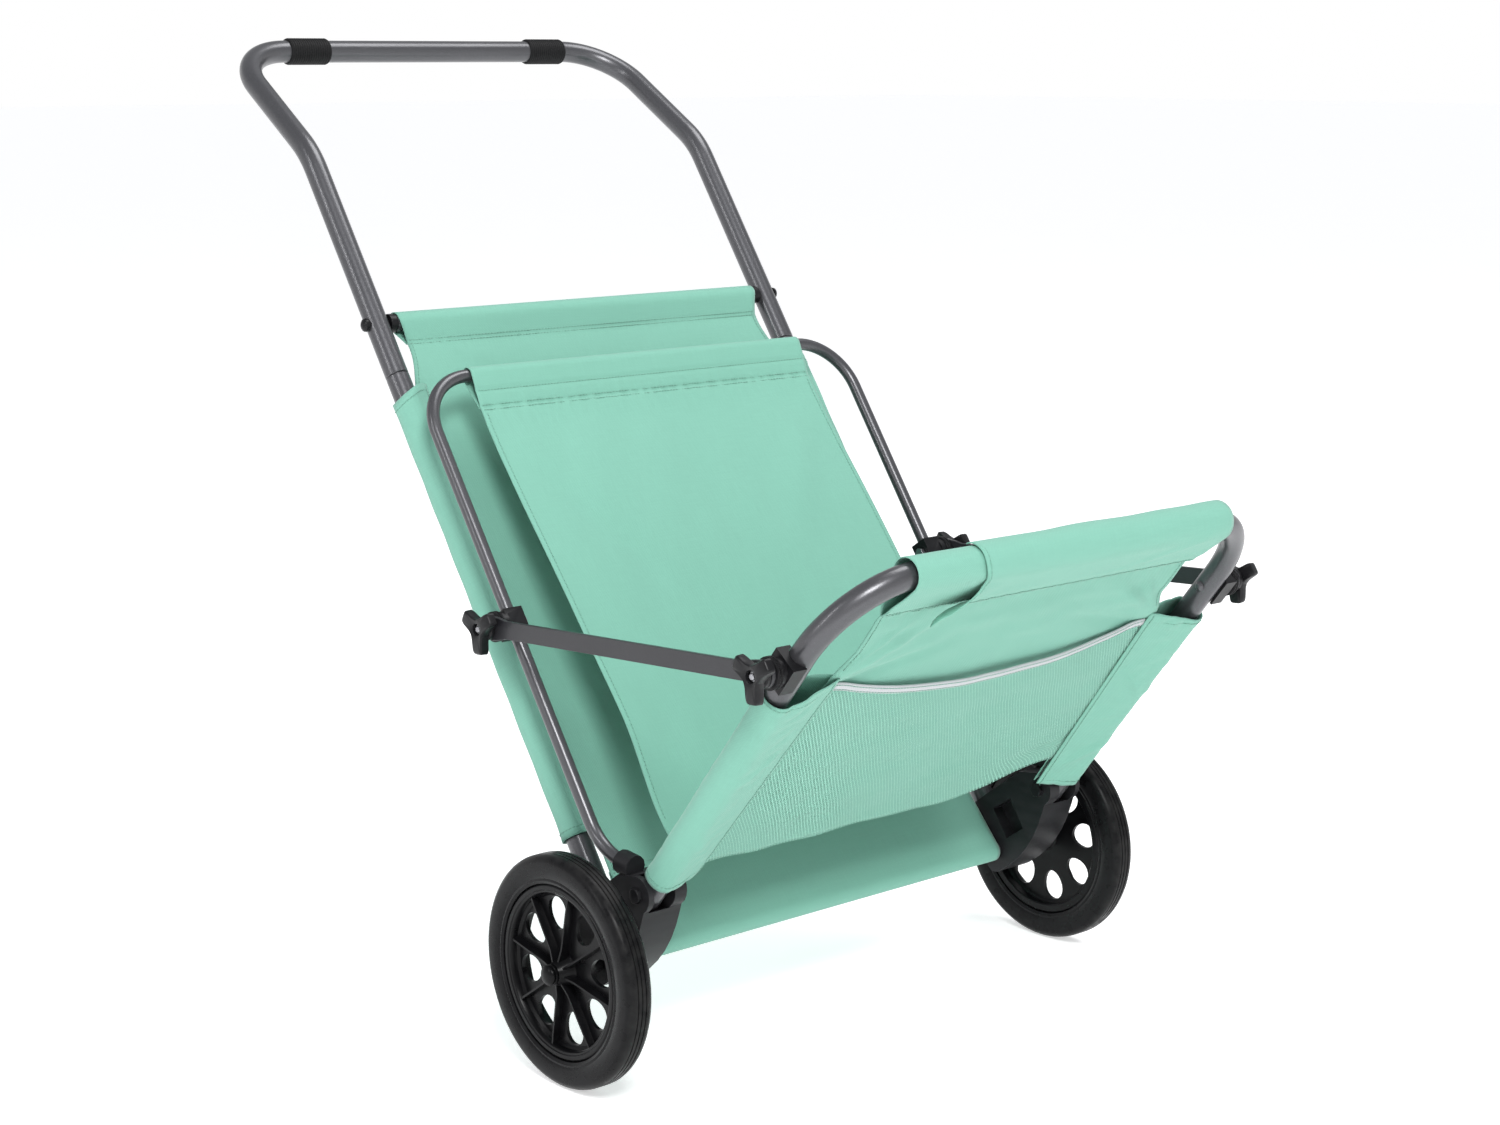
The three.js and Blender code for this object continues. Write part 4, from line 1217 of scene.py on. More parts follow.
            rounds = steps(0, track.length, 2.2)
            slant = [5 - 15 * (1 - smooth(abs(u - track.length / 2), 0, 42)) for u in rounds]
            heights = steps(self.sleeve_foot, self.sleeve_top, 7)
            shares = [smooth(v, self.sleeve_top - 80, self.sleeve_top) for v in heights]
            rows = [[point(u, v + cut * share) for u, cut in zip(rounds, slant)] for v,
                    share in zip(heights, shares)]
            piece = grid(f"back_sleeve_{side}", rows, lambda r, c: (rounds[c] * MM, heights[r] * MM))
            thickened(piece, self.thickness)
            dress(piece, Finish.CLOTH, "main_frame", "back_panel")
            lines = []
            for face in (2.5, track.length - 2.5):
                lines.append([point(face, v) + MAIN.toward(0, -1 if face < 5 else 1, 0) * STITCH_LIFT
                              for v in heights])
            for v, tilt in ((self.sleeve_foot + 7, 0), (self.sleeve_top - 7, 1)):
                line = []
                for u, cut in zip(rounds[2:-2], slant[2:-2]):
                    spot = track.at(u)
                    line.append(point(u, v + cut * tilt)
                                + MAIN.toward(sign * spot.y, spot.x, 0) * STITCH_LIFT)
                lines.append(line)
            self.repeats.seam(f"back_sleeve_stitches_{side}", lines, "main_frame")

    def build(self) -> None:
        """The panel and its sleeves."""
        self.panel()
        self.sleeves()


@dataclass
class Sling:
    """One long cloth: over the hoop, down inside, round the foot of the V and up to the front bar."""

    repeats: Repeats
    hoop_forward: float = 50
    hoop_top: float = 546
    hoop_cloth: float = 7.6
    hoop_tail: float = 34
    inner_half: float = 203
    fold_radius: float = 21
    front_length: float = 380.7
    front_cloth: float = 13.7
    front_tail: float = 46
    seam_top: float = 190
    seam_foot: float = 212
    top_half: float = 188
    sleeve_foot: float = 17
    sleeve_top: float = 258
    tube_x: float = 250.8
    tube_cloth: float = 12.8
    pocket_top: float = 250
    pocket_sag: float = 24
    corner_lift: float = 30
    thickness: float = 0.9

    def __post_init__(self) -> None:
        """Lays the cloth's line in the main frame's plane."""
        wrap = loop(self.hoop_cloth, self.hoop_tail, LAYER_GAP)
        hoop = [(y - self.hoop_forward, z + self.hoop_top) for y, z in reversed(wrap)]
        foot = MAIN.local(FRONT.at(0, 0, 0))
        start = Vector((0, -self.hoop_forward - LAYER_GAP, self.hoop_top - self.hoop_tail - 20))
        corner = Vector((0, foot.y, foot.z))
        bar = [(y, z + self.front_length) for y, z in loop(self.front_cloth, self.front_tail, LAYER_GAP)]
        bar = [self.from_front(-y, z) for y, z in bar]
        run = bent_path([start, corner, Vector((0, *self.from_front(LAYER_GAP, 80)))], [self.fold_radius],
                        4)
        self.track = Track([*hoop, *[(p.y, p.z) for p in run], *bar])
        self.hoop_seam = self.track.marks[len(hoop) - 1]
        self.fold_start = self.track.marks[len(hoop) + 1]
        self.fold_end = self.track.marks[len(hoop) + len(run) - 2]
        self.bar_seam = self.track.marks[len(hoop) + len(run)]
        self.zero = self.fold_end - FRONT.local(MAIN.at(0, *self.track.at(self.fold_end))).z

    @staticmethod
    def from_front(y: float, z: float) -> tuple[float, float]:
        """A point of the front frame's plane in the main frame's."""
        spot = MAIN.local(FRONT.at(0, y, z))
        return (spot.y, spot.z)

    def up_front(self, distance: float) -> float:
        """How far up the front frame from its pivot a distance along the cloth is."""
        return distance - self.zero

    def seam(self, z: float) -> float:
        """How far out the side seams of the front are, at a height up the front frame."""
        return self.seam_foot + (self.seam_top - self.seam_foot) * min(1.0, max(0.0, z / self.pocket_top))

    def half(self, distance: float) -> float:
        """Half the cloth's width."""
        z = self.up_front(distance)
        if z < self.sleeve_foot:
            return self.inner_half + 8 * smooth(z, -150, -40) - 4 * smooth(z, -34, 4)
        if z < self.sleeve_top:
            foot = self.inner_half + 4
            return foot + (self.seam(z) + 9 - foot) * smooth(z, self.sleeve_foot, self.sleeve_foot + 34)
        flare = (self.seam(z) + 9 - self.top_half) * (1 - smooth(z, self.sleeve_top, self.sleeve_top + 34))
        return self.top_half + max(0.0, flare)

    def point(self, u: float, v: float) -> Vector:
        """Where the cloth lies."""
        spot, normal = self.track.at(v), self.track.normal(v)
        inner = smooth(v, self.hoop_seam, self.hoop_seam + 50)
        inner *= 1 - smooth(v, self.fold_start - 60, self.fold_start)
        front = smooth(self.up_front(v), 30, 80) * (1 - smooth(v, self.bar_seam - 40, self.bar_seam))
        height = inner * (3.4 * ripple(u, v, 170, 11) + 1.6 * ripple(u * 1.6, v * 0.5, 60, 3))
        height += inner * 2.2 * (fold(u, v, (-200, 120), (-60, 330), 18)
                                 - fold(u, v, (200, 90), (70, 300), 18))
        high = self.up_front(v)
        height += front * (1.8 * ripple(u, high, 90, 21) + 1.5 * ripple(u * 0.45, high, 26, 17))
        upper = smooth(high, 256, 276) * (1 - smooth(high, 316, 332))
        height += upper * 1.3 * ripple(u * 0.6 + high * 0.5, high * 1.4, 24, 61)
        for sign in (-1, 1):
            for crease in FRONT_CREASES:
                height += crease.depth * front * crease.share(u, high, sign)
        end = self.track.length
        bar = smooth(v, self.bar_seam, self.bar_seam + 8) * (1 - smooth(v, end - 8, end))
        crease = fold(u, v, (120, self.bar_seam + 12), (186, end - 10), 5)
        height -= bar * (0.7 + 0.9 * ripple(u * 0.4, v, 22, 71) + 0.7 * crease)
        height += 0.7 * math.sin(u * 0.42 + math.sin(u * 0.07)) * math.exp(-abs(v - self.bar_seam) / 7)
        height += 0.55 * math.sin(u * 0.45
                                  + 2 * math.sin(u * 0.05)) * math.exp(-abs(v - self.hoop_seam) / 9)
        for line in (self.hoop_seam - 16, self.hoop_seam, self.bar_seam):
            height += 0.7 * math.exp(-((v - line) / 2.6) ** 2)
        turn = smooth(v, self.fold_start - 30, self.fold_start + 10)
        turn *= 1 - smooth(v, self.fold_end - 5, self.fold_end + 50)
        height -= turn * (3.5 * (1 - (u / 215) ** 2) + 2.2 * ripple(u, 0, 48, 8))
        flat = spot - normal * height
        gather = smooth(v, self.fold_start - 80, self.fold_start) * (1 - smooth(high, 34, 96))
        lift = self.corner_lift * smooth(u, 84, 204) ** 1.3 + 7 * smooth(-u, 130, 208)
        upward = MAIN.up.lerp(FRONT.up, smooth(v, self.fold_start, self.fold_end))
        return MAIN.at(u, flat.x, flat.y) + upward * (lift * gather * MM)

    def cloth(self) -> None:
        """The cloth itself, which bends between the two frames at the foot of the V."""
        surface = Surface(self.point)
        end = self.track.length
        rows = steps(0, self.hoop_seam, 1.6) + steps(self.hoop_seam, self.hoop_seam + 8, 1.6)[1:]
        rows += steps(self.hoop_seam + 8, self.fold_start, 6)[1:]
        rows += steps(self.fold_start, self.fold_end, 2)[1:]
        rows += steps(self.fold_end, self.bar_seam - 8, 3.6)[1:]
        rows += steps(self.bar_seam - 8, end, 1.6)[1:]
        piece = thickened(surface.sheet("sling_cloth", rows, self.half, 130), self.thickness)
        dress(piece, Finish.CLOTH, "main_frame", "inner_sling", "front_panel")
        start = self.point(0, self.fold_start - 12)
        finish = self.point(0, self.fold_end + 14)
        piece.parent = None  # it rides on neither body alone, because it bends between the two
        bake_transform(piece)
        hoop_seams = (self.hoop_seam - 16, self.hoop_seam - 2, self.hoop_seam + 3)
        hoop_edge = (self.hoop_seam + 8, self.fold_start - 30)
        bar_edge = (self.zero + self.sleeve_top + 14, self.bar_seam - 4)
        for name, body, seams, edge in (
            ("sling_stitches", "main_frame", hoop_seams, hoop_edge),
            ("front_stitches", "front_frame", (self.bar_seam - 2, end - 3), bar_edge),
        ):
            lines = []
            for height in THREAD_HEIGHTS:
                lines += [surface.seam(v, self.half(v) - 4, height) for v in seams]
                for sign in (-1, 1):
                    lines.append([surface.off(sign * (self.half(v) - 5), v, height)
                                  for v in steps(*edge, 6)])
            self.repeats.seam(name, lines, body)

    def sleeve_track(self, z: float) -> Track:
        """The line of a sleeve round its tube, at a height up the front frame."""
        return Track(loop(self.tube_cloth, self.tube_x - self.seam(z), 1.5, 22))

    def sleeves(self) -> None:
        """The wide flat sleeves round the legs of the front tube."""
        rounds = 40
        for side, sign in SIDES.items():
            def point(share: float, z: float, sign: int = sign) -> Vector:
                """Where the sleeve lies, for a share of the way round it and a height."""
                track = self.sleeve_track(z)
                distance = share * track.length
                spot, normal = track.at(distance), track.normal(distance)
                crumple = math.exp(-(self.sleeve_top - z) / 34)
                slack = math.sin(math.pi * min(share, 1 - share) * 2)
                loose = (1.5 + 2.6 * crumple) * ripple(distance * 0.8, z * 1.3, 24, 31 + sign) * slack
                middle_line = track.length / 2
                drawn = fold(distance, z, (6, 40), (middle_line - 8, 92), 6)
                drawn += fold(distance, z, (8, 186), (middle_line - 10, 150), 6)
                low = math.exp(-(z - self.sleeve_foot) / 16)
                foot_waves = 1.6 * low * slack * abs(math.sin(distance * 0.16))
                loose = 1.4 * abs(loose) + 3.2 * drawn * slack + foot_waves
                flat = spot - normal * (0.5 + 0.8 * loose + 1.4 * crumple * slack)
                return FRONT.at(sign * (self.tube_x + flat.y), flat.x, z)

            heights = steps(self.sleeve_foot, self.sleeve_top, 3.4)
            shares = [k / (rounds * 2) for k in range(rounds * 2 + 1)]
            span = self.sleeve_top - self.sleeve_foot
            rows = []
            for z in heights:
                share_up = (z - self.sleeve_foot) / span
                rows.append([point(s, z + 9 * share_up * math.cos(2 * math.pi * s) * 0.5) for s in shares])
            cut = self.sleeve_track(130).length
            piece = grid(f"front_sleeve_{side}", rows, lambda r, c: (shares[c] * cut * MM, heights[r] * MM))
            thickened(piece, self.thickness)
            dress(piece, Finish.CLOTH, "front_frame", "front_panel")
            lines = []
            for share, face in ((0.03, -1), (0.97, 1)):
                lines.append([point(share, z) + FRONT.toward(0, face, 0) * STITCH_LIFT for z in heights])
            for z in (self.sleeve_foot + 6, self.sleeve_top - 7):
                axis = FRONT.at(sign * self.tube_x, 0, z)
                spots = [point(s, z) for s in shares[6:-6]]
                lines.append([spot + (spot - axis).normalized() * STITCH_LIFT for spot in spots])
            self.repeats.seam(f"front_sleeve_stitches_{side}", lines, "front_frame")

    def flap_edge(self, z: float) -> float:
        """How far from the middle the top flap's left edge is, at a height up the front frame."""
        low, high = self.front_length - self.front_tail, self.front_length + self.front_cloth
        share = (z - low) / (high - low)
        return -142 + 34 * smooth(share, 0.0, 0.55) - 8 * smooth(share, 0.6, 1.0)

    def flap(self) -> None:
        """The second layer over the top bar, whose left edge curves and stands a little open."""
        outline = [(-y, z + self.front_length) for y,
                   z in loop(self.front_cloth + 1.3, self.front_tail + 1, 2.2, 26)]
        track = Track(list(reversed(outline)))

        def point(u: float, v: float) -> Vector:
            """Where the flap lies, for a distance across and a distance from its lower hem."""
            spot, normal = track.at(v), track.normal(v)
            z = spot.y
            near = math.exp(-max(0.0, u - self.flap_edge(z)) / 16)
            low = 1 - smooth(v, 2, 44)
            open_edge = 14.0 * near * low
            wave = 1.0 * ripple(u * 0.5, v, 24, 41) + 1.4 * fold(u, v, (60, 6), (186, 62), 6)
            wave += 0.6 * ripple(u, v, 60, 44)
            seam = 0.6 * math.sin(u * 0.42 + math.sin(u * 0.06)) * math.exp(-abs(v - 8) / 6)
            flat = spot - normal * (0.9 + open_edge + (0.9 + wave) * smooth(v, 4, 16) + seam)
            return FRONT.at(u, flat.x, flat.y)

        rise = steps(0, track.length * 0.62, 2.4)
        columns = 60
        rows = []
        for v in rise:
            left = self.flap_edge(track.at(v).y)
            rows.append([point(left + (self.top_half + 2 - left) * c / columns, v)
                         for c in range(columns + 1)])
        width = self.top_half + 142
        piece = grid("top_flap", rows, lambda r, c: (width * c / columns * MM, rise[r] * MM))
        thickened(piece, self.thickness)
        rise[-1] * MM
        dress(piece, Finish.CLOTH, "front_frame", "front_panel")
        lines = [[point(u, 3) + FRONT.toward(0, -1, 0) * STITCH_LIFT
                  for u in steps(-134, self.top_half - 3, 6)]]
        lines.append([point(self.flap_edge(track.at(v).y) + 4, v) + FRONT.toward(0, -1, 0.6) * STITCH_LIFT
                      for v in rise[1:-4]])
        self.repeats.seam("flap_stitches", lines, "front_frame")

    def pocket_edge(self, u: float) -> float:
        """The height of the pocket's open edge up the front frame."""
        share = u / self.seam(self.pocket_top)
        return self.pocket_top - self.pocket_sag * (1 - share * share)

    def outside(self, v: float) -> Vector:
        """The direction square to the sling's cloth, away from the load."""
        normal = self.track.normal(v)
        return MAIN.toward(0, -normal.x, -normal.y)

    def pocket_point(self, u: float, v: float) -> Vector:
        """Where the pocket's mesh lies, for a distance across and one along the sling's cloth."""
        z = self.up_front(v)
        seam = max(1.0, self.seam(z))
        bulge = max(0.0, 1 - (u / seam) ** 2) * smooth(z, 20, 220) * 5.5
        lift = 1.8 + bulge + 0.5 * ripple(u, z, 38, 51) * smooth(z, 40, 90)
        return self.point(u, v) + self.outside(v) * (lift * MM)

    def pocket(self) -> None:
        """The open mesh of the pocket and the tape that binds its edge."""
        low = self.fold_start + 0.35 * (self.fold_end - self.fold_start)
        columns, count = 76, 62
        rows, maps = [], []
        for r in range(count + 1):
            row, places = [], []
            for c in range(columns + 1):
                share = 2 * c / columns - 1
                top = self.zero + self.pocket_edge(share * self.seam(self.pocket_top))
                v = low + (top - low) * r / count
                u = share * (self.seam(self.up_front(v)) + 1)
                row.append(self.pocket_point(u, v))
                places.append((u * MM, v * MM))
            rows.append(row)
            maps.append(places)
        piece = grid("pocket_mesh", rows, lambda r, c: maps[r][c])
        dress(piece, Finish.MESH, "front_frame", "mesh_pocket")
        self.tape()

    def tape(self) -> None:
        """The binding tape, folded lengthways over the pocket's open edge."""
        half = self.seam_top - 1
        section = [(1.1, -4), (1.3, -2), (1.4, 0), (1.3, 2.2), (0.9, 3.7), (0.1, 4.3), (-0.7, 3.7),
                   (-0.9, 2), (-0.9, 0), (-0.8, -4)]
        width = Track(section).length
        stops = steps(-half, half, 5)

        def over(u: float, out: float, up: float) -> Vector:
            """The point at millimetres out of the pocket's edge and up from it."""
            v = self.zero + self.pocket_edge(u)
            return self.pocket_point(u, v) + self.outside(v) * (out * MM) + FRONT.up * (up * MM)

        rows = [[over(u, out, up) for out, up in section] for u in stops]
        piece = grid("pocket_binding", rows, lambda r, c: (stops[r] * MM, section[c][1] * MM))
        thickened(piece, 0.5)
        dress(piece, Finish.TAPE, "front_frame", "pocket_tape")
        lines = [[over(u, 1.7, shift) for u in stops] for shift in (-2.6, 2.6)]
        self.repeats.seam("tape_stitches", lines, "front_frame")

    def build(self) -> None:
        """The cloth, its sleeves, the flap and the pocket."""
        self.cloth()
        self.sleeves()
        self.flap()
        self.pocket()


# ------------------------------------------------------------------ moulded pieces
@dataclass
class Wheel:
    """A wheel: a tyre with rounded shoulders, a ribbed moulded centre and a domed hub cap."""

    side: str
    plane: float = 301
    radius: float = 102
    tyre_width: float = 27
    rim_radius: float = 77
    rim_wall: float = 8.5
    rim_width: float = 22
    web: float = 3.6
    hub_radius: float = 12
    hub_length: float = 31
    cap_radius: float = 9
    cap_length: float = 9
    spokes: int = 8
    spoke_thickness: float = 2.2
    hole_circle: float = 50
    hole_width: float = 24
    hole_length: float = 29

    @property
    def sign(self) -> int:
        """Which side of the cart the wheel is on."""
        return SIDES[self.side]

    @property
    def body(self) -> str:
        """The CAD body of the wheel."""
        return f"wheel_{self.side}"

    def ring(self, name: str, profile: Sequence[tuple[float, float]],
             segments: int = 128) -> bpy.types.Object:
        """A turned piece from (radius, distance outwards from the wheel's plane) pairs."""
        return turned(name, MAIN, [(r, self.sign * (self.plane + x)) for r, x in profile],
                      segments=segments)

    def tyre(self) -> None:
        """The tyre, with shallow grooves round its tread."""
        half, inner, shoulder = self.tyre_width / 2, self.rim_radius + 0.3, 8.0
        arc = []
        for k in range(9):
            angle = math.pi / 2 * k / 8
            arc.append((self.radius - shoulder + shoulder * math.sin(angle),
                        -half + shoulder * (1 - math.cos(angle))))
        tread = []
        for x in (-4.2, 0.0, 4.2):
            tread += [(self.radius, x - 0.7), (self.radius - 0.8, x - 0.4), (self.radius - 0.8, x + 0.4),
                      (self.radius, x + 0.7)]
        wall = [(inner, -half + 2.2), (inner + 2.5, -half + 1.0), (inner + 4.5, -half + 1.4),
                (inner + 6, -half + 0.5), (inner + 12, -half)]
        left = [*wall, *arc[1:]]
        right = [(r, -x) for r, x in reversed(left)]
        dress(self.ring(f"tyre_{self.side}", [*left, *tread, *right], 144), Finish.TYRE, self.body,
              f"wheel_tyre_{self.side}")

    def spoke(self, angle: float) -> bpy.types.Object:
        """One thin rib between the hub and the ring, on the outer side."""
        half, hub, inner = self.rim_width / 2, self.hub_length / 2, self.rim_radius - self.rim_wall
        side = [(self.hub_radius - 3, 0), (inner + 1, 0), (inner + 1, half - 2.5), (inner - 10, half - 2.2),
                (self.hub_radius + 9, hub - 6), (self.hub_radius - 3, hub - 3.5)]
        points = []
        for face in (-0.5, 0.5):
            for k, (r, x) in enumerate(side):
                width = self.spoke_thickness * (1.7 if x == 0 else 0.8)
                y = r * math.cos(angle) - face * width * math.sin(angle)
                z = r * math.sin(angle) + face * width * math.cos(angle)
                points.append(MAIN.at(self.sign * (self.plane + x), y, z))
        count = len(side)
        faces = [list(range(count)), [count + k for k in reversed(range(count))]]
        faces += [[k, (k + 1) % count, count + (k + 1) % count, count + k] for k in range(count)]
        return outward(new_object("spoke", points, faces))

    def hole(self, angle: float) -> bpy.types.Object:
        """One oval cutter through the web."""
        rows = []
        for x in (-8, 8):
            row = []
            for k in range(40):
                turn = 2 * math.pi * k / 40
                r = self.hole_circle + self.hole_length / 2 * math.cos(turn)
                t = self.hole_width / 2 * math.sin(turn) * (1 + 0.12 * math.cos(turn))
                y, z = r * math.cos(angle) - t * math.sin(angle), r * math.sin(angle) + t * math.cos(angle)
                row.append(MAIN.at(self.sign * (self.plane + x), y, z))
            rows.append(row)
        return outward(grid("hole", rows, around=True, caps=True))

    def centre(self) -> None:
        """The moulded centre with its web, oval holes and ribs."""
        half, hub, web = self.rim_width / 2, self.hub_length / 2, self.web / 2
        inner, bore, lip = self.rim_radius - self.rim_wall, 5.4, 0.9
        profile = [(bore, -hub), (self.hub_radius - lip, -hub), (self.hub_radius, -hub + lip),
                   (self.hub_radius, -web - 2),
                   (self.hub_radius + 2, -web), (inner - 3, -web), (inner - 0.5, -web - 2),
                   (inner, -half + lip), (inner + lip, -half),
                   (self.rim_radius - 2, -half), (self.rim_radius, -half + 1.5),
                   (self.rim_radius, half - 1.5), (self.rim_radius - 2, half),
                   (inner + 3.4, half), (inner + 2.6, half - 0.9), (inner + 1.0, half - 1.2),
                   (inner, half - 2.4), (inner - 0.5, web + 2), (inner - 3, web),
                   (self.hub_radius + 3, web), (self.hub_radius + 0.5, web + 2.5),
                   (self.cap_radius + 0.6, hub - 1), (self.cap_radius, hub), (bore, hub)]
        disc = self.ring(f"wheel_centre_{self.side}", profile)
        holes = joined("holes", [self.hole(2 * math.pi * (k + 0.5) / self.spokes)
                                 for k in range(self.spokes)])
        cut = disc.modifiers.new("Holes", "BOOLEAN")
        cut.operation, cut.solver, cut.object = "DIFFERENCE", "EXACT", holes
        settled(disc)
        bpy.data.objects.remove(holes)
        ribs = [self.spoke(2 * math.pi * k / self.spokes) for k in range(self.spokes)]
        piece = joined(f"wheel_disc_{self.side}", [disc, *ribs])
        smooth_shaded(piece.data).set_sharp_from_angle(angle=math.radians(34))
        dress(bevelled(piece, 0.35, 1), Finish.WHEEL, self.body, f"wheel_rim_{self.side}")

    def cap(self) -> None:
        """The domed hub cap."""
        start, r = self.hub_length / 2 + 0.3, self.cap_radius
        end = start + self.cap_length
        dome = [(r * math.cos(a), end - 4.4 + 4.4 * math.sin(a))
                for a in (math.pi / 2 * k / 8 for k in range(9))]
        profile = [(0, start), (r - 0.6, start), (r, start + 0.6), (r, start + 2), (r - 0.7, start + 2.4),
                   (r - 0.7, start + 3), *dome[:-1], (0, end)]
        dress(self.ring(f"hub_dome_{self.side}", profile, 48), Finish.WHEEL, self.body,
              f"hub_cap_{self.side}")

    def build(self) -> None:
        """The whole wheel."""
        self.tyre()
        self.centre()
        self.cap()


@dataclass
class Clamp:
    """One clamp: its toothed discs and its three-winged knob."""

    repeats: Repeats
    side: str
    where: str
    place: Place
    y: float
    disc_radius: float = 13.5
    teeth: int = 56
    reach: float = 23
    waist: float = 8.6
    wing: float = 6.4
    neck_radius: float = 10.6

    @property
    def sign(self) -> int:
        """Which side of the cart the clamp is on."""
        return SIDES[self.side]

    def disc(self, node: str) -> None:
        """One disc of the stack with fine teeth round its rim."""
        low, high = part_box(node)
        x0, x1 = (low.x / MM, high.x / MM)
        r, bore, lip = self.disc_radius - 0.5, 3.6, 0.6
        profile = [(bore, x0), (r - lip - 1.5, x0), (r - lip - 1.0, x0 + 0.3), (r - lip, x0 + 0.3),
                   (r, x0 + lip + 0.3),
                   (r, x1 - lip - 0.3), (r - lip, x1 - 0.3), (r - lip - 1.0, x1 - 0.3), (r - lip - 1.5, x1),
                   (bore, x1)]
        ring = turned(f"{node}_ring", self.place, profile, self.y, 0, 56)
        ring.data.materials.append(Finish.PLASTIC.material)
        spots, outs = [], []
        for k in range(self.teeth):
            angle = 2 * math.pi * k / self.teeth
            outs.append(self.place.toward(0, math.cos(angle), math.sin(angle)))
            spots.append(self.place.at((x0 + x1) / 2, self.y + r * math.cos(angle), r * math.sin(angle)))
        crown = new_object(f"{node}_teeth", spots, [])
        mark = crown.data.attributes.new("outward", "FLOAT_VECTOR", "POINT")
        mark.data.foreach_set("vector", [part for out in outs for part in out])
        crown = self.repeats.teeth.run(crown, Finish.PLASTIC, Length=(x1 - x0 - 1.3) * MM, Depth=0.0011,
                                       Width=0.0007)
        piece = joined(f"{node}_toothed", [ring, crown])
        dress(piece, Finish.PLASTIC, BODY_OF[node], node)

    def knob(self) -> None:
        """The knob: a round neck, three wings with hollow flanks, and a dished face."""
        node = f"{self.where}_knob_{self.side}"
        low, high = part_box(node)
        inner, outer = sorted((abs(low.x) / MM, abs(high.x) / MM))
        wing = inner + 5
        count = 120

        def radius(angle: float) -> float:
            """How far out the knob's outline is at an angle."""
            third = 2 * math.pi / 3
            turn = (angle - math.pi / 6 + third / 2) % third - third / 2
            end = (self.reach - 0.4) / (math.cos(turn) + 0.12 * turn * turn)
            flank = self.wing / max(0.01, math.sin(abs(turn)))
            body = (flank ** 4 + self.waist ** 4) ** 0.25
            return (end ** -9 + body ** -9) ** (-1 / 9)

        levels = [(inner, self.neck_radius - 0.6, 0.0), (inner + 0.6, self.neck_radius, 0.0),
                  (wing - 1.6, self.neck_radius, 0.0),
                  (wing - 0.6, self.neck_radius - 0.8, 0.0), (wing - 0.2, 0, 0.93), (wing + 0.8, 0, 1.0),
                  (outer - 2.2, 0, 0.985), (outer - 0.9, 0, 0.95), (outer, 0, 0.87),
                  (outer - 0.3, 8.6, 0.0), (outer - 0.5, 6.2, 0.0),
                  (outer - 1.1, 5.4, 0.0), (outer - 4.6, 5.1, 0.0), (outer - 4.8, 3.4, 0.0)]
        rows = []
        for x, round_radius, share in levels:
            row = []
            for k in range(count):
                angle = 2 * math.pi * k / count
                r = radius(angle) * share if share else round_radius
                row.append(self.place.at(self.sign * x, self.y + r * math.cos(angle), r * math.sin(angle)))
            rows.append(row)
        piece = outward(grid(f"wing_{node}", rows, around=True, caps=True), 38)
        dress(piece, Finish.PLASTIC, BODY_OF[node], node)
        self.screw(node, outer)

    def screw(self, node: str, outer: float) -> None:
        """The bright end of the bolt and its washer, down in the knob's recess."""
        bolt = f"{self.where}_bolt_{self.side}"
        end = [(0, outer - 4.6), (4.4, outer - 4.6), (4.4, outer - 4.1), (2.9, outer - 4.0),
               (2.8, outer - 2.6), (2.2, outer - 2.1), (0, outer - 2.0)]
        tip = turned(f"bolt_end_{node}", self.place, [(r, self.sign * x) for r, x in end], self.y, 0, 32)
        dress(tip, Finish.STEEL, BODY_OF[bolt])

    def build(self) -> None:
        """The discs and the knob."""
        self.disc(f"{self.where}_disc_inner_{self.side}")
        self.disc(f"{self.where}_disc_outer_{self.side}")
        self.knob()


# What each moulded or turned piece is made of, and the millimetres its edges are rounded by.
CASTINGS = {
    "side_bracket": (Finish.BRACKET, 1.0),
    "front_saddle": (Finish.PLASTIC, 1.1),
    "sliding_collar": (Finish.PLASTIC, 1.1),
    "crossbar_plug": (Finish.PLASTIC, 0.4),
    "crossbar_bolt": (Finish.PLASTIC, 0.3),
    "pivot_bolt": (Finish.PLASTIC, 0.5),
    "axle_spacer": (Finish.PLASTIC, 0.4),
    "stay_bar": (Finish.STAY, 0.7),
    "collar_nut": (Finish.STEEL, 0.4),
    "front_bolt": (Finish.TUBE, 0.3),
    "rear_bolt": (Finish.STEEL, 0.2),
}


def castings() -> None:
    """Copies the brackets, saddles, collars, plugs, stays and fasteners with rounded edges."""
    for kind, (finish, width) in CASTINGS.items():
        for side in SIDES:
            node = f"{kind}_{side}"
            dress(softened(node, width), finish, BODY_OF[node], node)


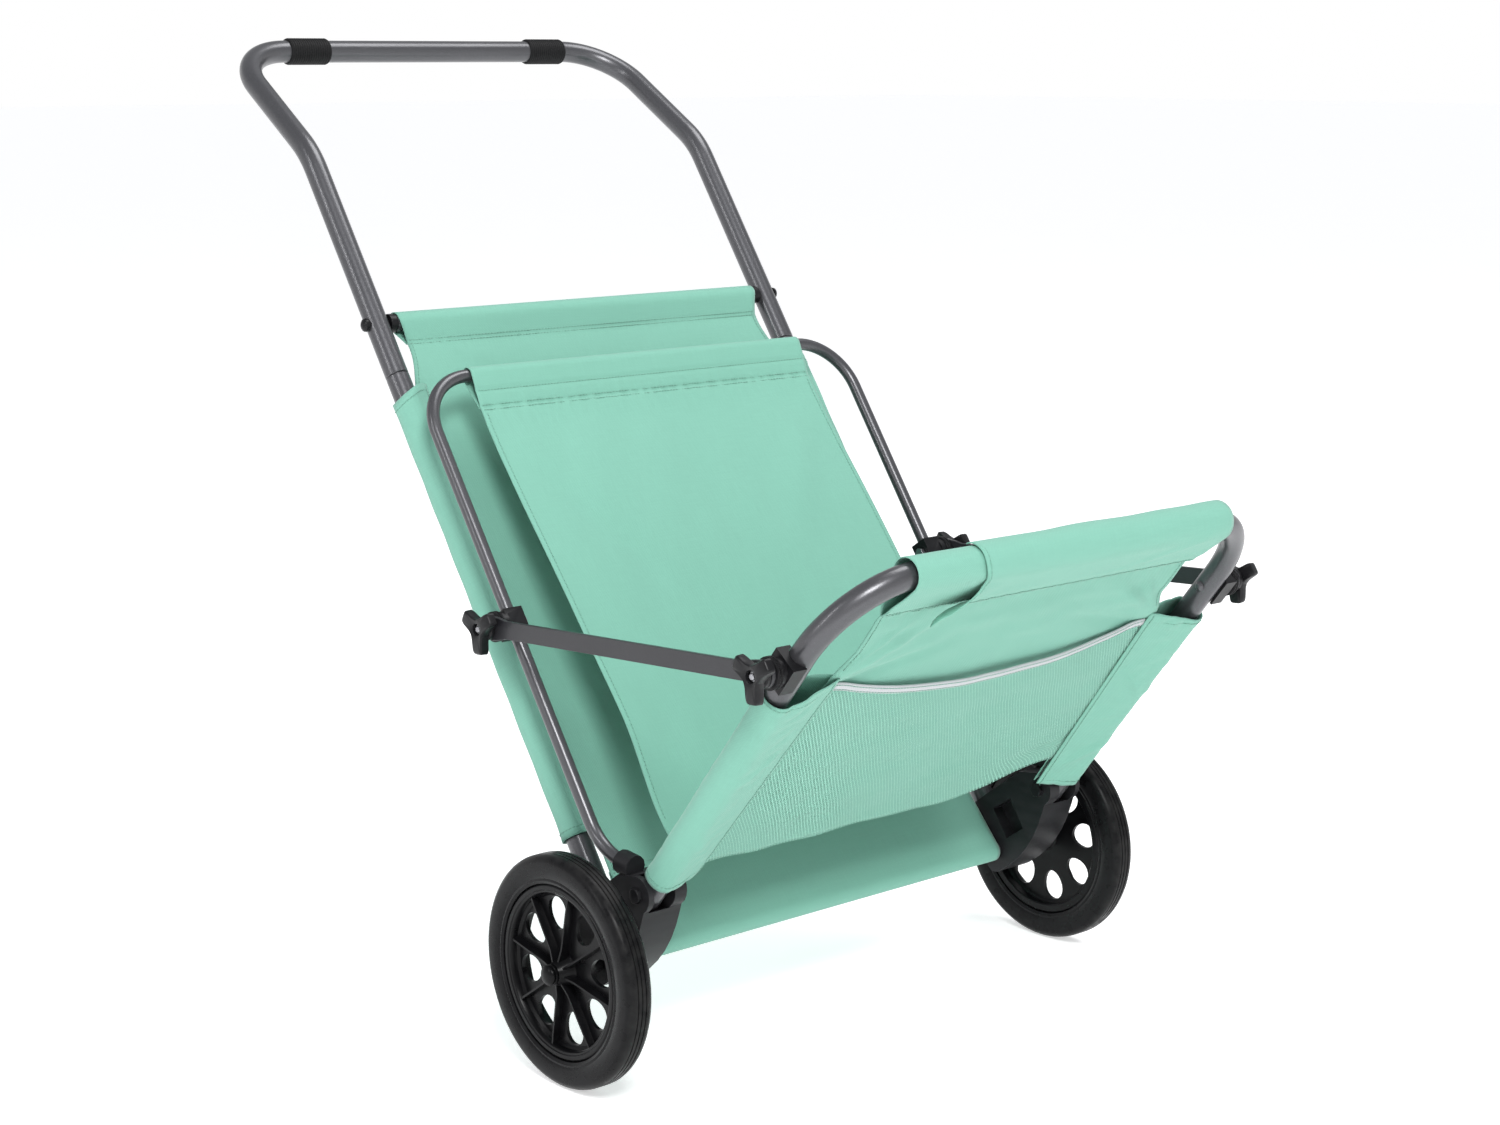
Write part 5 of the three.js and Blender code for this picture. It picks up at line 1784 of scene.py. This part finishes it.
# ------------------------------------------------------------------ stage
@dataclass
class Stage:
    """The floor, the lights and the camera."""

    lens: float = 63.2
    eye: tuple[float, float, float] = (-1592.4, -1712.2, 766.6)
    gaze: tuple[float, float, float] = (0.64656, 0.73898, -0.18939)
    floor_size: float = 80

    def floor(self) -> None:
        """A plain pale floor."""
        half = self.floor_size / 2
        corners = [Vector((x * half, y * half, -0.0005)) for x, y in ((-1, -1), (1, -1), (1, 1), (-1, 1))]
        ground = new_object("floor", corners, [(0, 1, 2, 3)])
        look = Look("pale floor")
        tone = look.noise(look.place(), 3.0, 3)
        look.feed(Base_Color=look.mix(tone, (0.9, 0.9, 0.9, 1), (0.93, 0.93, 0.93, 1)), Roughness=0.9)
        look.feed(Emission_Color=(1, 1, 1, 1), Emission_Strength=0.5)
        ground.data.materials.append(look.material)

    def lamp(self, name: str, place: tuple[float, float, float], size: tuple[float, float],
             power: float) -> None:
        """A soft light of a width and a height that points at the cart."""
        light = bpy.data.lights.new(name, "AREA")
        light.shape, light.size, light.size_y, light.energy = "RECTANGLE", *size, power
        holder = linked(name, light)
        aim = Vector((0, 0, 0.4)) - Vector(place)
        holder.matrix_world = Matrix.Translation(place) @ aim.to_track_quat("-Z", "Y").to_matrix().to_4x4()

    def lights(self) -> None:
        """A key light, a strip for highlights along the tubes and a light from above, in a bright room."""
        self.lamp("key", (-1.6, -2.6, 3.0), (1.2, 1.2), 112)
        self.lamp("strip", (-3.2, 0.4, 2.2), (0.25, 2.0), 22)
        self.lamp("top", (1.2, -0.2, 3.4), (1.6, 1.6), 50)
        world = bpy.data.worlds.new("studio")
        world.use_nodes = True
        background = next(n for n in world.node_tree.nodes if n.type == "BACKGROUND")
        nodes, links = world.node_tree.nodes, world.node_tree.links
        parts, place, ramp = (nodes.new(f"ShaderNode{kind}")
                              for kind in ("SeparateXYZ", "TexCoord", "ValToRGB"))
        links.new(place.outputs["Generated"], parts.inputs[0])
        links.new(parts.outputs[2], ramp.inputs[0])
        stops = ((0.12, (1, 1, 1, 1)), (0.5, (0.45, 0.46, 0.48, 1)))
        for element, (position, colour) in zip(ramp.color_ramp.elements, stops):
            element.position, element.color = position, colour
        links.new(ramp.outputs[0], background.inputs["Color"])
        background.inputs["Strength"].default_value = 1.0
        bpy.context.scene.world = world
        bpy.context.scene.view_settings.view_transform = "Standard"

    def camera(self) -> None:
        """The camera, given from the axle."""
        data = bpy.data.cameras.new("camera")
        data.lens, data.sensor_width, data.clip_start = self.lens, 36, 0.05
        eye = MAIN.origin + Vector(self.eye) * MM
        holder = linked("camera", data)
        turn = Vector(self.gaze).normalized().to_track_quat("-Z", "Y")
        holder.matrix_world = Matrix.Translation(eye) @ turn.to_matrix().to_4x4()
        bpy.context.scene.camera = holder

    def build(self) -> None:
        """The whole stage."""
        self.floor()
        self.lights()
        self.camera()


def main() -> None:
    logging.basicConfig(level=logging.INFO, format="%(name)s: %(message)s")
    Stage().build()
    repeats = Repeats()
    Tubing(repeats).build()
    BackPanel(repeats).build()
    Sling(repeats).build()
    for side in SIDES:
        Wheel(side).build()
        Clamp(repeats, side, "front", STAY, 0).build()
        Clamp(repeats, side, "rear", STAY, (REAR_CLAMP - FRONT_CLAMP).length / MM).build()
    castings()


if __name__ == "__main__":
    main()
